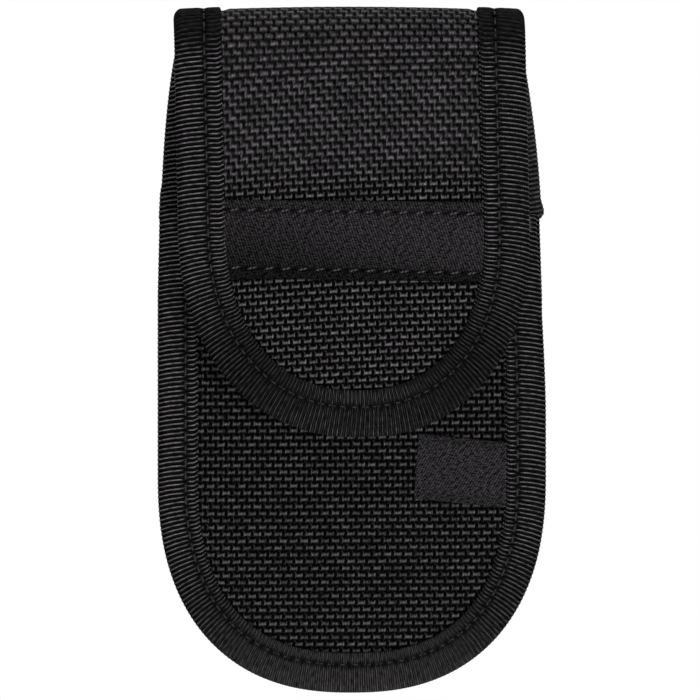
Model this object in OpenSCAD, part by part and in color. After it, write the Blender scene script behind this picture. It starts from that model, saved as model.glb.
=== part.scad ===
// Belt sheath for a folding multi tool: flat cloth panels with tape-bound edges, a gusset that boxes
// the pocket, a flap that closes on hook-and-loop patches, and a webbing loop for a belt.
// X runs across the sheath, the front faces -Y and +Z is up, as it is worn. Sizes are in millimetres.
// The pieces are drawn from the pocket's lowest edge and its rear lining, then moved so that
// the origin is the middle of the belt tunnel.

/* [Pocket] */
// Width over the pocket's bound edges
pocket_w = 70; // [66:1:84]
// Height of the pocket's mouth above its lowest edge
mouth_h = 87; // [80:1:98]
// Depth inside the pocket, from lining to lining
pocket_depth = 20; // [16:0.5:26]
// Height of the pocket's rounded end
pocket_end_h = 39.4; // [32:0.2:46]
// Roundness of the pocket's end, where 2 is an ellipse
pocket_end_power = 2.3; // [2:0.1:3]

/* [Back and top] */
// Overall height, over the tape at the top
total_h = 124.2; // [118:0.2:140]
// Width over the bound edges at the top and down the flap
shoulder_w = 63.4; // [58:0.2:66]
// Straight run of the side edges between the taper and the rear fold
shoulder_run = 2; // [0.5:0.5:8]
// Outer radius of the cloth at the two folds
fold_r = 6.5; // [5:0.5:9]

/* [Flap] */
// Length of the flap, from the top edge to its lowest edge
flap_len = 77.8; // [72:0.2:86]
// Height of the flap's rounded end
flap_end_h = 37.4; // [30:0.2:44]
// Roundness of the flap's end, where 2 is an ellipse
flap_end_power = 2.2; // [2:0.1:3]

/* [Layers] */
// Thickness of the woven outer cloth
cloth_t = 1.1; // [0.8:0.1:1.6]
// Thickness of the stiffener sheet
board_t = 0.8; // [0.5:0.1:1.4]
// Thickness of the lining
lining_t = 0.5; // [0.3:0.1:0.9]
// Thickness of the gusset
gusset_t = 1; // [0.6:0.1:1.6]
// Gap between layers that are sewn together
seam = 0.05; // [0.02:0.01:0.1]

/* [Edge tape] */
// Thickness of the edge tape
tape_t = 0.5; // [0.3:0.05:0.8]
// Width of the tape that shows on each side of the pocket's edges
pocket_tape_w = 7.2; // [5:0.2:9]
// Width of the tape that shows on each side of the flap's edges
flap_tape_w = 8.4; // [6:0.2:10]
// Outer radius at which the tape turns over an edge
tape_edge_r = 1; // [0.9:0.1:1.6]

/* [Closure] */
// Width of the hook patch
hook_w = 34; // [24:1:40]
// Height of the hook patch
hook_h = 17.5; // [12:0.5:20]
// Width of the loop patch
loop_w = 38; // [28:1:44]
// Height of the loop patch
loop_h = 19.5; // [14:0.5:22]
// Corner radius of both patches
patch_r = 3; // [1:0.5:5]
// Thickness of each patch
patch_t = 1.3; // [0.8:0.1:2]
// Distance of the loop patch below the mouth's tape
loop_drop = 1.8; // [0.5:0.1:6]
// Gap between the two patches when the flap is shut
shut_gap = 0.3; // [0.2:0.05:0.6]

/* [Belt loop] */
// Width of the webbing
strap_w = 38; // [25:1:42]
// Thickness of the webbing
strap_t = 2; // [1.2:0.1:2.8]
// Straight run of the webbing behind the belt
strap_run = 46; // [36:1:54]
// Room for the belt between the back and the webbing
belt_gap = 6; // [5:0.5:9]
// Height of each bend between the run and a sewn end
strap_bend = 8; // [6:0.5:10]
// Height of each sewn end
strap_tack = 9; // [6:0.5:12]
// Height of the middle of the loop
strap_mid_h = 70; // [66:1:72]

/* [Labels] */
// Distance from the top edge down to the blank label on the flap
flap_label_drop = 34.8; // [26:0.2:42]
// Height of the blank label on the flap
flap_label_h = 14.8; // [8:0.2:20]
// Length of the blank label at the pocket's side
side_label_w = 16; // [10:0.5:20]
// Height of the blank label at the pocket's side
side_label_h = 12; // [8:0.5:16]
// Height of the middle of the side label
side_label_mid_h = 40; // [30:1:42]
// Tilt of the side label
side_label_tilt = 5; // [0:1:10]
// Thickness of both labels
label_t = 0.6; // [0.3:0.1:1]

/* [Hidden] */

// Steps of a rounded end, of half a fold, of the tape's turned edge and of a webbing bend
end_steps = 44;
fold_steps = 5;
edge_steps = 3;
bend_steps = 10;
$fn = 96;

// A cut reaches this far past the face that it opens
cut = 1;
// Angle from the top at which a fold is split between two bodies, and the gap at that split
split_angle = 45;
split_gap = 0.2;
split_half = split_gap / 2 / fold_r * 180 / PI;

// Layers, from the cloth's outer face inwards
stack_t = cloth_t + board_t + lining_t + 2 * seam;
flange_t = gusset_t + seam;
// The tape stands this far off the cloth's face, and cloth edges lie where the tape starts to turn
tape_out = tape_t + seam;
cloth_in = tape_edge_r;

// Planes across the depth: y is 0 at the rear lining, and the front is negative
back_out = stack_t;
front_in = -pocket_depth;
front_out = front_in - stack_t;
flap_in = front_out - 2 * (patch_t + seam) - shut_gap;
flap_out = flap_in - stack_t;

// Heights, from the pocket's lowest edge
fold_z = total_h - tape_out - fold_r;
shoulder_z = fold_z - shoulder_run;
flap_end_z = total_h - flap_len;
flap_mid_z = flap_end_z + flap_end_h;
loop_mid_z = mouth_h - pocket_tape_w - loop_drop - loop_h / 2;

// Fold centres across the depth
rear_fold_y = back_out - fold_r;
front_fold_y = flap_out + fold_r;

// Half widths, and how far the gusset's wall stands in from the pocket's edge
pocket_a = pocket_w / 2;
flap_a = shoulder_w / 2;
wall_in = pocket_tape_w + seam;
wall_inner_in = wall_in + gusset_t;

// The belt tunnel's middle is the origin
tunnel_y = back_out + belt_gap / 2;

cloth_colour = [0.13, 0.13, 0.14];
tape_colour = [0.09, 0.09, 0.10];
lining_colour = [0.17, 0.17, 0.18];
board_colour = [0.30, 0.30, 0.30];
gusset_colour = [0.07, 0.07, 0.08];
patch_colour = [0.11, 0.11, 0.11];
label_colour = [0.20, 0.20, 0.21];

// A point on a rounded end, x = a cos^(2/p) and z = -b sin^(2/p), from the right through the lowest
// point to the left, with the outward normal from the curve's gradient
function end_point(a, b, p, angle) =
    [a * sign(cos(angle)) * pow(abs(cos(angle)), 2 / p), -b * pow(sin(angle), 2 / p)];
function end_gradient(a, b, p, q) =
    [sign(q.x) * pow(abs(q.x) / a, p - 1) / a, -pow(abs(q.y) / b, p - 1) / b];
function unit(v) = v / norm(v);

// The bound edge of a U outline as pairs of a point and its outward normal, from top right to top left
function u_edge(a, b, p, mid_z, top_z) = concat(
    [[[a, top_z], [1, 0]]],
    [for (i = [0 : end_steps])
        let (q = end_point(a, b, p, 180 * i / end_steps))
        [q + [0, mid_z], unit(end_gradient(a, b, p, q))]],
    [[[-a, top_z], [-1, 0]]]
);
function inset_points(edge, inset) = [for (e = edge) e[0] - inset * e[1]];

function pocket_edge(top_z) = u_edge(pocket_a, pocket_end_h, pocket_end_power, pocket_end_h, top_z);
function flap_edge() = u_edge(flap_a, flap_end_h, flap_end_power, flap_mid_z, fold_z);

// A frame on the cloth's outer face: a point, the way inwards from the edge, and the face's normal
function edge_frames(edge, y, side) =
    [for (e = edge) [[e[0].x, y, e[0].y], [-e[1].x, 0, -e[1].y], [0, side, 0]]];
// Frames round a fold at half width a, for angles measured from the top; side is -1 at the front
function fold_frames(a, fold_y, side, angles) =
    [for (q = angles)
        [[a, fold_y + side * fold_r * sin(q), fold_z + fold_r * cos(q)], [-sign(a), 0, 0],
         [0, side * sin(q), cos(q)]]];
function steps_between(from, to) = [for (i = [0 : fold_steps]) from + (to - from) * i / fold_steps];
function backwards(list) = [for (i = [len(list) - 1 : -1 : 0]) list[i]];

// One face of a tape folded over an edge, at a depth in from the tape's outer face: pairs of the distance
// in from the edge and the height above the cloth, down to the far side of a stack
function tape_face(width, stack, depth) =
    let (
        r = tape_edge_r,
        top = tape_out - r,
        bottom = r - tape_out - stack
    )
    concat(
        [[width, top + r - depth]],
        [for (i = [0 : edge_steps])
            let (q = 90 + 90 * i / edge_steps)
            [r + (r - depth) * cos(q), top + (r - depth) * sin(q)]],
        [for (i = [0 : edge_steps])
            let (q = 180 + 90 * i / edge_steps)
            [r + (r - depth) * cos(q), bottom + (r - depth) * sin(q)]],
        [[width, bottom - r + depth]]
    );
// Section of a folded tape: its outer face, then its inner face back again
function tape_section(width, stack) =
    concat(tape_face(width, stack, 0), backwards(tape_face(width, stack, tape_t)));

// Carries a section along frames and closes both ends. The section's second half runs back
// beside its first, so that each end is a strip of triangles between the two.
module sweep(frames, section) {
    m = len(section);
    last = len(frames) - 1;
    points = [for (f = frames) for (s = section) f[0] + s[0] * f[1] + s[1] * f[2]];
    sides = [for (i = [0 : last - 1]) for (j = [0 : m - 1])
        let (k = (j + 1) % m)
        each [[i * m + j, (i + 1) * m + j, (i + 1) * m + k], [i * m + j, (i + 1) * m + k, i * m + k]]];
    cap = [for (j = [0 : m / 2 - 2])
        each [[j, j + 1, m - 2 - j], [j, m - 2 - j, m - 1 - j]]];
    far_cap = [for (t = cap) [for (j = [2, 1, 0]) last * m + t[j]]];
    polyhedron(points, concat(cap, sides, far_cap));
}

// Moves the drawing so that the belt tunnel's middle is the origin
module placed() {
    translate([0, -tunnel_y, -strap_mid_h]) children();
}

// A flat layer: an outline across X and Z, t thick from y
module layer(y, t) {
    translate([0, y + t, 0]) rotate([90, 0, 0]) linear_extrude(t) children();
}

// The outline of a U panel inside its tape
module u_shape(edge, inset) {
    polygon(inset_points(edge, inset));
}

// The back's outline: the pocket's, then tapered sides up to the rear fold
module back_shape(inset) {
    side = flap_a - inset;
    polygon(concat(
        inset_points(pocket_edge(mouth_h), inset),
        [[-side, shoulder_z], [-side, fold_z], [side, fold_z], [side, shoulder_z]]
    ));
}

// A band of the pocket's outline between two insets, open at the mouth
module pocket_band(outer_in, inner_in) {
    difference() {
        u_shape(pocket_edge(mouth_h), outer_in);
        u_shape(pocket_edge(mouth_h + cut), inner_in);
    }
}

// Half a fold of a layer, its outer face at r_out, between two angles from the top; side is -1 at the front
module half_fold(fold_y, side, r_out, t, from, to) {
    width = shoulder_w - 2 * cloth_in;
    function ray(q) = 2 * r_out * [side * sin(q), cos(q)];
    translate([-width / 2, fold_y, fold_z])
        rotate([90, 0, 90])
        linear_extrude(width)
        intersection() {
            difference() {
                circle(r_out);
                circle(r_out - t);
            }
            polygon([[0, 0], ray(from), ray(to)]);
        }
}

// A layer of the top, from half of the rear fold to half of the front fold
module top_layer(r_out, t) {
    width = shoulder_w - 2 * cloth_in;
    translate([-width / 2, front_fold_y, fold_z + r_out - t])
        cube([width, rear_fold_y - front_fold_y, t]);
    half_fold(rear_fold_y, 1, r_out, t, 0, split_angle - split_half);
    half_fold(front_fold_y, -1, r_out, t, 0, split_angle - split_half);
}

// A plate with round corners
module patch_shape(w, h) {
    square([w - 2 * patch_r, h], center = true);
    square([w, h - 2 * patch_r], center = true);
    for (sx = [-1, 1], sz = [-1, 1])
        translate([sx * (w / 2 - patch_r), sz * (h / 2 - patch_r)]) circle(patch_r);
}

// Outer woven cloth of the back, up to half of the rear fold
module back_panel() {
    color(cloth_colour) placed() {
        layer(back_out - cloth_t, cloth_t) back_shape(cloth_in);
        half_fold(rear_fold_y, 1, fold_r, cloth_t, split_angle + split_half, 90);
    }
}

// Stiffener between cloth and lining, which stops short of the fold
module back_stiffener() {
    color(board_colour) placed()
        layer(lining_t + seam, board_t) back_shape(cloth_in);
}

// Lining of the back, up to half of the rear fold
module back_lining() {
    color(lining_colour) placed() {
        layer(0, lining_t) back_shape(cloth_in);
        half_fold(rear_fold_y, 1, fold_r - stack_t + lining_t, lining_t, split_angle + split_half, 90);
    }
}

// Tape over the back's edge round the pocket, with the gusset's rear flange sewn in
module back_binding() {
    color(tape_colour) placed()
        sweep(edge_frames(backwards(pocket_edge(mouth_h)), back_out, 1),
              tape_section(pocket_tape_w, stack_t + flange_t));
}

// Tape over the back's side edges, from the mouth up to half of the rear fold
module shoulder_binding() {
    frames = concat(
        [for (q = [[pocket_a, mouth_h + seam], [flap_a, shoulder_z]])
            [[q.x, back_out, q.y], [-1, 0, 0], [0, 1, 0]]],
        fold_frames(flap_a, rear_fold_y, 1, steps_between(90, split_angle + split_half))
    );
    color(tape_colour) placed()
        for (side = [0, 1]) mirror([side, 0, 0])
            sweep(frames, tape_section(flap_tape_w, stack_t));
}

// Webbing sewn to the back at both ends, bowed out between them to let a belt through
module belt_loop() {
    half = strap_run / 2;
    // Height of the inner face over the back at a share u of a bend, and its slope
    function rise(u) = belt_gap * (1 - cos(180 * u)) / 2;
    function slope(u) = belt_gap * PI * sin(180 * u) / 2 / strap_bend;
    lower = concat(
        [[-half - strap_bend - strap_tack, 0, 0]],
        [for (i = [0 : bend_steps])
            let (u = i / bend_steps)
            [-half - strap_bend * (1 - u), rise(u), slope(u)]]
    );
    upper = [for (s = backwards(lower)) [-s.x, s.y, -s.z]];
    run = concat(lower, upper);
    inner = [for (s = run) [s.y, s.x]];
    outer = [for (s = run) [s.y, s.x] + strap_t * unit([1, -s.z])];
    color(tape_colour) placed()
        translate([-strap_w / 2, back_out + seam, strap_mid_h])
        rotate([90, 0, 90])
        linear_extrude(strap_w)
        polygon(concat(inner, backwards(outer)));
}

// Outer woven cloth of the pocket's front
module front_panel() {
    color(cloth_colour) placed()
        layer(front_out, cloth_t) u_shape(pocket_edge(mouth_h - cloth_in), cloth_in);
}

// Stiffener of the pocket's front
module front_stiffener() {
    color(board_colour) placed()
        layer(front_out + cloth_t + seam, board_t) u_shape(pocket_edge(mouth_h - cloth_in), cloth_in);
}

// Lining of the pocket's front
module front_lining() {
    color(lining_colour) placed()
        layer(front_in - lining_t, lining_t) u_shape(pocket_edge(mouth_h - cloth_in), cloth_in);
}

// Tape over the front's edge round the pocket, with the gusset's front flange sewn in
module front_binding() {
    color(tape_colour) placed()
        sweep(edge_frames(pocket_edge(mouth_h), front_out, -1),
              tape_section(pocket_tape_w, stack_t + flange_t));
}

// Tape over the front's upper edge, between the two sides of the gusset
module mouth_binding() {
    half = pocket_a - wall_inner_in - seam;
    frames = [for (x = [half, -half]) [[x, front_out, mouth_h], [0, 0, -1], [0, -1, 0]]];
    color(tape_colour) placed()
        sweep(backwards(frames), tape_section(pocket_tape_w, stack_t));
}

// One strip round the sides and the lower end: a wall that boxes the pocket, and two sewn flanges
module gusset() {
    color(gusset_colour) placed() {
        layer(front_in + seam, pocket_depth - 2 * seam) pocket_band(wall_in, wall_inner_in);
        layer(front_in + seam, gusset_t) pocket_band(cloth_in, wall_inner_in);
        layer(-flange_t, gusset_t) pocket_band(cloth_in, wall_inner_in);
    }
}

// Soft loop patch on the pocket's front
module loop_patch() {
    color(patch_colour) placed()
        layer(front_out - seam - patch_t, patch_t)
        translate([0, loop_mid_z]) patch_shape(loop_w, loop_h);
}

// Blank label at the pocket's right side, its outer end against the tape
module side_label() {
    color(label_colour) placed()
        layer(front_out - seam - label_t, label_t)
        intersection() {
            u_shape(pocket_edge(mouth_h), pocket_tape_w + seam);
            translate([pocket_a - pocket_tape_w, side_label_mid_h])
                rotate(-side_label_tilt)
                square([2 * side_label_w, side_label_h], center = true);
        }
}

// Outer woven cloth over the top
module top_panel() {
    color(cloth_colour) placed() top_layer(fold_r, cloth_t);
}

// Lining under the top
module top_lining() {
    color(lining_colour) placed() top_layer(fold_r - stack_t + lining_t, lining_t);
}

// Tape over the top's two side edges
module top_binding() {
    frames = concat(
        fold_frames(flap_a, rear_fold_y, 1, steps_between(split_angle - split_half, 0)),
        fold_frames(flap_a, front_fold_y, -1, steps_between(0, split_angle - split_half))
    );
    color(tape_colour) placed()
        for (side = [0, 1]) mirror([side, 0, 0])
            sweep(frames, tape_section(flap_tape_w, stack_t));
}

// Outer woven cloth of the flap, from half of the front fold
module flap_panel() {
    color(cloth_colour) placed() {
        layer(flap_out, cloth_t) u_shape(flap_edge(), cloth_in);
        half_fold(front_fold_y, -1, fold_r, cloth_t, split_angle + split_half, 90);
    }
}

// Stiffener of the flap, which stops short of the fold
module flap_stiffener() {
    color(board_colour) placed()
        layer(flap_out + cloth_t + seam, board_t) u_shape(flap_edge(), cloth_in);
}

// Lining of the flap, from half of the front fold
module flap_lining() {
    color(lining_colour) placed() {
        layer(flap_in - lining_t, lining_t) u_shape(flap_edge(), cloth_in);
        half_fold(front_fold_y, -1, fold_r - stack_t + lining_t, lining_t, split_angle + split_half, 90);
    }
}

// Tape over the flap's edge, down one side, round its end and up the other
module flap_binding() {
    angles = steps_between(split_angle + split_half, 90);
    bends = [for (i = [0 : fold_steps - 1]) angles[i]];
    frames = concat(
        fold_frames(flap_a, front_fold_y, -1, bends),
        edge_frames(flap_edge(), flap_out, -1),
        fold_frames(-flap_a, front_fold_y, -1, backwards(bends))
    );
    color(tape_colour) placed() sweep(frames, tape_section(flap_tape_w, stack_t));
}

// Stiff hook patch on the flap's lining, trimmed where it would reach the flap's tape
module hook_patch() {
    color(patch_colour) placed()
        layer(flap_in + seam, patch_t)
        intersection() {
            u_shape(flap_edge(), flap_tape_w + seam);
            translate([0, loop_mid_z]) patch_shape(hook_w, hook_h);
        }
}

// Blank label across the flap, from tape to tape
module name_label() {
    color(label_colour) placed()
        layer(flap_out - seam - label_t, label_t)
        intersection() {
            u_shape(flap_edge(), flap_tape_w + seam);
            translate([0, total_h - flap_label_drop - flap_label_h / 2])
                square([shoulder_w, flap_label_h], center = true);
        }
}

back_panel();
back_stiffener();
back_lining();
back_binding();
shoulder_binding();
belt_loop();
front_panel();
front_stiffener();
front_lining();
front_binding();
mouth_binding();
gusset();
loop_patch();
side_label();
top_panel();
top_lining();
top_binding();
flap_panel();
flap_stiffener();
flap_lining();
flap_binding();
hook_patch();
name_label();
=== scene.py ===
"""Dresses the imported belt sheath: woven cloth, ribbed edge tape, patches, labels and webbing.

Sizes are in millimetres from the pocket's lowest edge and its rear lining, and points turn into metres
of the part's own frame when they are placed on a face.
"""

import logging
import math
from dataclasses import dataclass, field, replace
from enum import Enum

import bpy
import numpy as np
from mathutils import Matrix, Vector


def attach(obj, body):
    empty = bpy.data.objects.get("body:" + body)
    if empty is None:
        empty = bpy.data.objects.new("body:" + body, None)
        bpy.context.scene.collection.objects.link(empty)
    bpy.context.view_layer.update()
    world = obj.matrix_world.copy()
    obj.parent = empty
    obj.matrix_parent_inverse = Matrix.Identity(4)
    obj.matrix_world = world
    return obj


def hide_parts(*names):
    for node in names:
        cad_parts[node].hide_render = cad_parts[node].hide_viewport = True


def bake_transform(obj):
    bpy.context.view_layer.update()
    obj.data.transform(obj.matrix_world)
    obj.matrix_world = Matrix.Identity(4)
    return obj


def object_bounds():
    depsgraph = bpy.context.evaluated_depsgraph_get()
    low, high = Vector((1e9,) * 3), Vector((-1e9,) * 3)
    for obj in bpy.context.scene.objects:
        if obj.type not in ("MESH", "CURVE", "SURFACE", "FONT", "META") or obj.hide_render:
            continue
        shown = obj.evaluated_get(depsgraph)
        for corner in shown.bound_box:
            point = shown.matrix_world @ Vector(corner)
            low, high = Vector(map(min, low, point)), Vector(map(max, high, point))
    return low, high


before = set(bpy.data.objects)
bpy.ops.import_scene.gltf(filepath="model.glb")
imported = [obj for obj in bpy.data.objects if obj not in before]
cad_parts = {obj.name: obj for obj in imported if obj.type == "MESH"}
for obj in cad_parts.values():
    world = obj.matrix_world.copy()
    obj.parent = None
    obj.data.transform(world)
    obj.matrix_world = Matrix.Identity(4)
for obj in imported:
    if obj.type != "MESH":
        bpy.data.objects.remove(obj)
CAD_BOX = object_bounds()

Array = np.ndarray
Object = bpy.types.Object
Socket = bpy.types.NodeSocket
Flat = tuple[float, float]
Point = tuple[float, float, float]
log = logging.getLogger("sheath")

MM = 0.001
BELT_MIDDLE = np.array((0.0, 5.5, 70.0))
MEASURING_STEPS = 400
# Irregular factors, so that neighbouring numbers get unlike shares
SCATTER_FIRST = 12.9898
SCATTER_SECOND = 78.233
SCATTER_SIZE = 43758.5453


def smooth(share: Array) -> Array:
    """Eases a share from 0 to 1 with the cubic 3t^2 - 2t^3, held outside that range."""
    t = np.clip(share, 0.0, 1.0)
    return t * t * (3.0 - 2.0 * t)


def arch(share: Array, depth: float = 1.0) -> Array:
    """Falls from 1 like an ellipse, the square root of 1 - depth t^2, and not below 0."""
    return np.sqrt(np.clip(1.0 - depth * share**2, 0.0, 1.0))


def bell(distance: Array, half: float) -> Array:
    """Falls from 1 at no distance by the bell curve exp(-(d / half)^2)."""
    return np.exp(-((distance / half) ** 2))


def wave(turns: Array) -> Array:
    """Swings from 1 at whole turns to 0 between them by a cosine."""
    return 0.5 + 0.5 * np.cos(2 * np.pi * turns)


def least(low: float, share: Array) -> Array:
    """Squeezes shares from 0 to 1 into shares from a least value to 1."""
    return low + (1.0 - low) * share


def squared_off(share: Array, power: float) -> Array:
    """Turns a sine or cosine into that of the curve |x|^p + |y|^p = 1: its power 2/p, sign kept."""
    return np.sign(share) * np.abs(share) ** (2 / power)


def scatter(first: Array, second: Array) -> Array:
    """Gives each pair of whole numbers its own fixed share from 0 to 1, the fraction of a large sine."""
    large = np.sin(first * SCATTER_FIRST + second * SCATTER_SECOND) * SCATTER_SIZE
    return large - np.floor(large)


def pairs(first: Array, second: Array) -> Array:
    """Stacks two arrays as pairs over the shape that they share."""
    return np.stack(np.broadcast_arrays(first, second), axis=-1)


def there_and_back(line: Array, there: float, back: float) -> tuple[Array, Array]:
    """Makes a line a closed loop, with one value for the way there and another for the way back."""
    return np.concatenate([line, line[::-1]])[None, :], np.repeat([there, back], len(line))[None, :]


def to_frame(points: Array) -> Array:
    """Moves millimetres of the drawing to metres from the belt tunnel's middle."""
    return (points - BELT_MIDDLE) * MM


def linked(name: str, data: bpy.types.ID) -> Object:
    """Puts a new object into the scene.

    Args:
        name: Name of the object.
        data: Its mesh, lamp or camera.

    Returns:
        The new object.
    """
    new = bpy.data.objects.new(name, data)
    bpy.context.scene.collection.objects.link(new)
    return new


class Seat(Enum):
    """How a piece is carried: by one body, or bent across one of the two folds."""

    SHEATH = "sheath"
    TOP = "top"
    FLAP = "flap"
    REAR_FOLD = "rear_fold"
    FRONT_FOLD = "front_fold"


@dataclass(frozen=True)
class Layout:
    """Driving sizes in millimetres: those of the solids, but with a slightly squarer pocket end."""

    pocket_half: float = 35.0
    mouth: float = 87.0
    depth: float = 20.0
    pocket_end: float = 39.4
    pocket_power: float = 2.38
    height: float = 124.2
    shoulder_half: float = 31.7
    shoulder_run: float = 2.0
    fold_radius: float = 6.5
    flap_length: float = 77.8
    flap_end: float = 37.4
    flap_power: float = 2.2
    stack: float = 2.5
    flange: float = 1.05
    lining: float = 0.5
    board: float = 0.8
    seam: float = 0.05
    tape_proud: float = 0.55
    pinches: Flat = (0.35, 0.5)
    pinch_run: float = 15.0
    pocket_tape: float = 7.2
    flap_tape: float = 8.4
    patch: float = 1.3
    shut_gap: float = 0.3

    @property
    def front_out(self) -> float:
        """Depth of the pocket front's outer cloth."""
        return -self.depth - self.stack

    @property
    def flap_out(self) -> float:
        """Depth of the flap's outer cloth."""
        return self.front_out - 2 * (self.patch + self.seam) - self.shut_gap - self.stack

    @property
    def fold_z(self) -> float:
        """Height of both fold centres."""
        return self.height - self.tape_proud - self.fold_radius

    @property
    def top_middle(self) -> float:
        """Depth of the middle of the top."""
        return (self.stack + self.flap_out) / 2

    @property
    def half_top(self) -> float:
        """Flat run of the top from its middle to a fold."""
        return (self.stack - self.flap_out) / 2 - self.fold_radius

    @property
    def fold_run(self) -> float:
        """Run along the cloth from the middle of the top to the foot of a fold."""
        return self.half_top + self.fold_radius * math.pi / 2

    def run_at(self, height: float) -> float:
        """Run along the strip from the middle of the top down to a height below the folds."""
        return self.fold_run + self.fold_z - height


SIZES = Layout()
FOLD_TOP = SIZES.fold_z + SIZES.fold_radius
# The two bodies that meet at each fold, and where its bend starts and ends
FOLDS = {
    Seat.REAR_FOLD: (
        (Seat.SHEATH, Seat.TOP),
        ((0.0, SIZES.stack, SIZES.fold_z), (0.0, SIZES.stack - SIZES.fold_radius, FOLD_TOP)),
    ),
    Seat.FRONT_FOLD: (
        (Seat.TOP, Seat.FLAP),
        ((0.0, SIZES.flap_out + SIZES.fold_radius, FOLD_TOP), (0.0, SIZES.flap_out, SIZES.fold_z)),
    ),
}
# Height of each hidden layer's lower side, and its thickness
LINING_LAYER = (-SIZES.stack, SIZES.lining)
BOARD_LAYER = (-SIZES.stack + SIZES.lining + SIZES.seam, SIZES.board)


@dataclass(frozen=True)
class FlatFace:
    """The pocket's front, a gently swollen plane whose run goes down from the mouth."""

    swell: float = 0.7
    bulge: float = 0.3
    pull: float = 1.35
    pull_run: float = 38.0

    def place(self, across: Array, run: Array, height: Array) -> Array:
        """Turns a place on the cloth and a height over it into a point.

        The plane swells by a parabola across its width and a half sine down its run. Its right edge
        stands out a little and is drawn in towards the mouth.

        Args:
            across: Distance to the right of the middle.
            run: Distance down from the mouth.
            height: Distance out from the cloth's outer face.

        Returns:
            Points in metres, with x, y and z last.
        """
        across, run, height = np.broadcast_arrays(across, run, height)
        share = np.clip(1.0 - (across / SIZES.pocket_half) ** 2, 0.0, 1.0)
        bow = self.swell * share * np.sin(np.pi * np.clip(run / SIZES.mouth, 0.0, 1.0))
        right = np.clip(across / SIZES.pocket_half, 0.0, 1.0) ** 2
        x = across + right * (self.bulge - self.pull * smooth(1.0 - run / self.pull_run))
        return to_frame(np.stack([x, SIZES.front_out - height - bow, SIZES.mouth - run], axis=-1))


@dataclass(frozen=True)
class StripFace:
    """The strip over a fold: from the middle of the top, round the fold and down the flap or the back."""

    side: float
    lean: float = 0.0
    top_shift: float = -0.4
    crown: float = 0.45
    crown_half: float = 24.0
    puff: float = 0.3
    puff_half: float = 21.5
    puff_ease: float = 1.5
    swell: float = 0.0

    def shift(self, run: Array) -> Array:
        """Sideways set of the strip: it starts off centre at the top and then leans or settles back.

        Args:
            run: Distance along the cloth from the middle of the top.

        Returns:
            Distance to the right of the sheath's middle.
        """
        if self.lean:
            return self.top_shift + self.lean * np.maximum(run - SIZES.half_top, 0.0)
        settle = SIZES.run_at(SIZES.mouth) - SIZES.fold_run
        return self.top_shift * (1.0 - smooth((run - SIZES.fold_run) / settle))

    def place(self, across: Array, run: Array, height: Array) -> Array:
        """Turns a place on the strip and a height over it into a point.

        The run is flat, then an arc of the fold's radius plus the height, then straight down. A
        parabolic crown lifts the top, the cloth puffs up between the tapes, and a flap swells by a
        parabola times a half sine.

        Args:
            across: Distance to the right of the strip's own middle.
            run: Distance along the cloth from the middle of the top.
            height: Distance out from the cloth's outer face.

        Returns:
            Points in metres, with x, y and z last.
        """
        across, run, height = np.broadcast_arrays(across, run, height)
        radius = SIZES.fold_radius
        angle = np.clip((run - SIZES.half_top) / radius, 0.0, np.pi / 2)
        share = np.clip(1.0 - (across / SIZES.shoulder_half) ** 2, 0.0, 1.0)
        reach_down = np.clip((run - SIZES.fold_run) / SIZES.flap_length, 0.0, 1.0)
        reach = radius + height + self.swell * share * np.sin(np.pi * reach_down)
        crown = self.crown * (1.0 - (across / self.crown_half) ** 2)
        crown = crown + self.puff * (1.0 - smooth((np.abs(across) - self.puff_half) / self.puff_ease))
        crown = crown * (1.0 - smooth((run - SIZES.half_top) / (2 * radius)))
        y = SIZES.top_middle + self.side * (np.minimum(run, SIZES.half_top) + reach * np.sin(angle))
        z = SIZES.fold_z + reach * np.cos(angle) - np.maximum(run - SIZES.fold_run, 0.0) + crown
        return to_frame(np.stack([across + self.shift(run), y, z], axis=-1))


@dataclass(frozen=True)
class StrapFace:
    """The belt loop's inner face, sewn down at both ends and standing off the back between them."""

    top: float = 110.0
    length: float = 80.0
    tack: float = 9.0
    bend: float = 8.0
    gap: float = 6.0

    @property
    def cut_length(self) -> float:
        """Length of the strap along its bends, the sum of many short steps."""
        line = self.place(0.0, np.linspace(0.0, self.length, MEASURING_STEPS), 0.0)
        return float(np.sum(np.linalg.norm(np.diff(line, axis=0), axis=1)) / MM)

    def place(self, across: Array, run: Array, height: Array) -> Array:
        """Turns a place on the webbing and a height over it into a point.

        The face rises from each sewn end by half a cosine wave over the bend, and heights are laid
        off square to it.

        Args:
            across: Distance to the right of the middle.
            run: Distance down from the upper end.
            height: Distance out from the inner face.

        Returns:
            Points in metres, with x, y and z last.
        """
        across, run, height = np.broadcast_arrays(across, run, height)
        inner = np.minimum(run, self.length - run)
        turn = np.pi * np.clip((inner - self.tack) / self.bend, 0.0, 1.0)
        rise = self.gap * (1.0 - np.cos(turn)) / 2
        slope = np.sign(self.length / 2 - run) * self.gap * np.pi / (2 * self.bend) * np.sin(turn)
        size = np.hypot(1.0, slope)
        y = SIZES.stack + SIZES.seam + rise + height / size
        return to_frame(np.stack([across, y, self.top - run + height * slope / size], axis=-1))


Face = FlatFace | StripFace | StrapFace
POCKET_FACE = FlatFace()
POCKET_INSIDE = FlatFace(swell=0.0)
FLAP_FACE = StripFace(side=-1.0, lean=0.0209, swell=0.9)
FLAP_INSIDE = replace(FLAP_FACE, swell=0.0)
BACK_FACE = StripFace(side=1.0)
STRAP_FACE = StrapFace()


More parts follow.
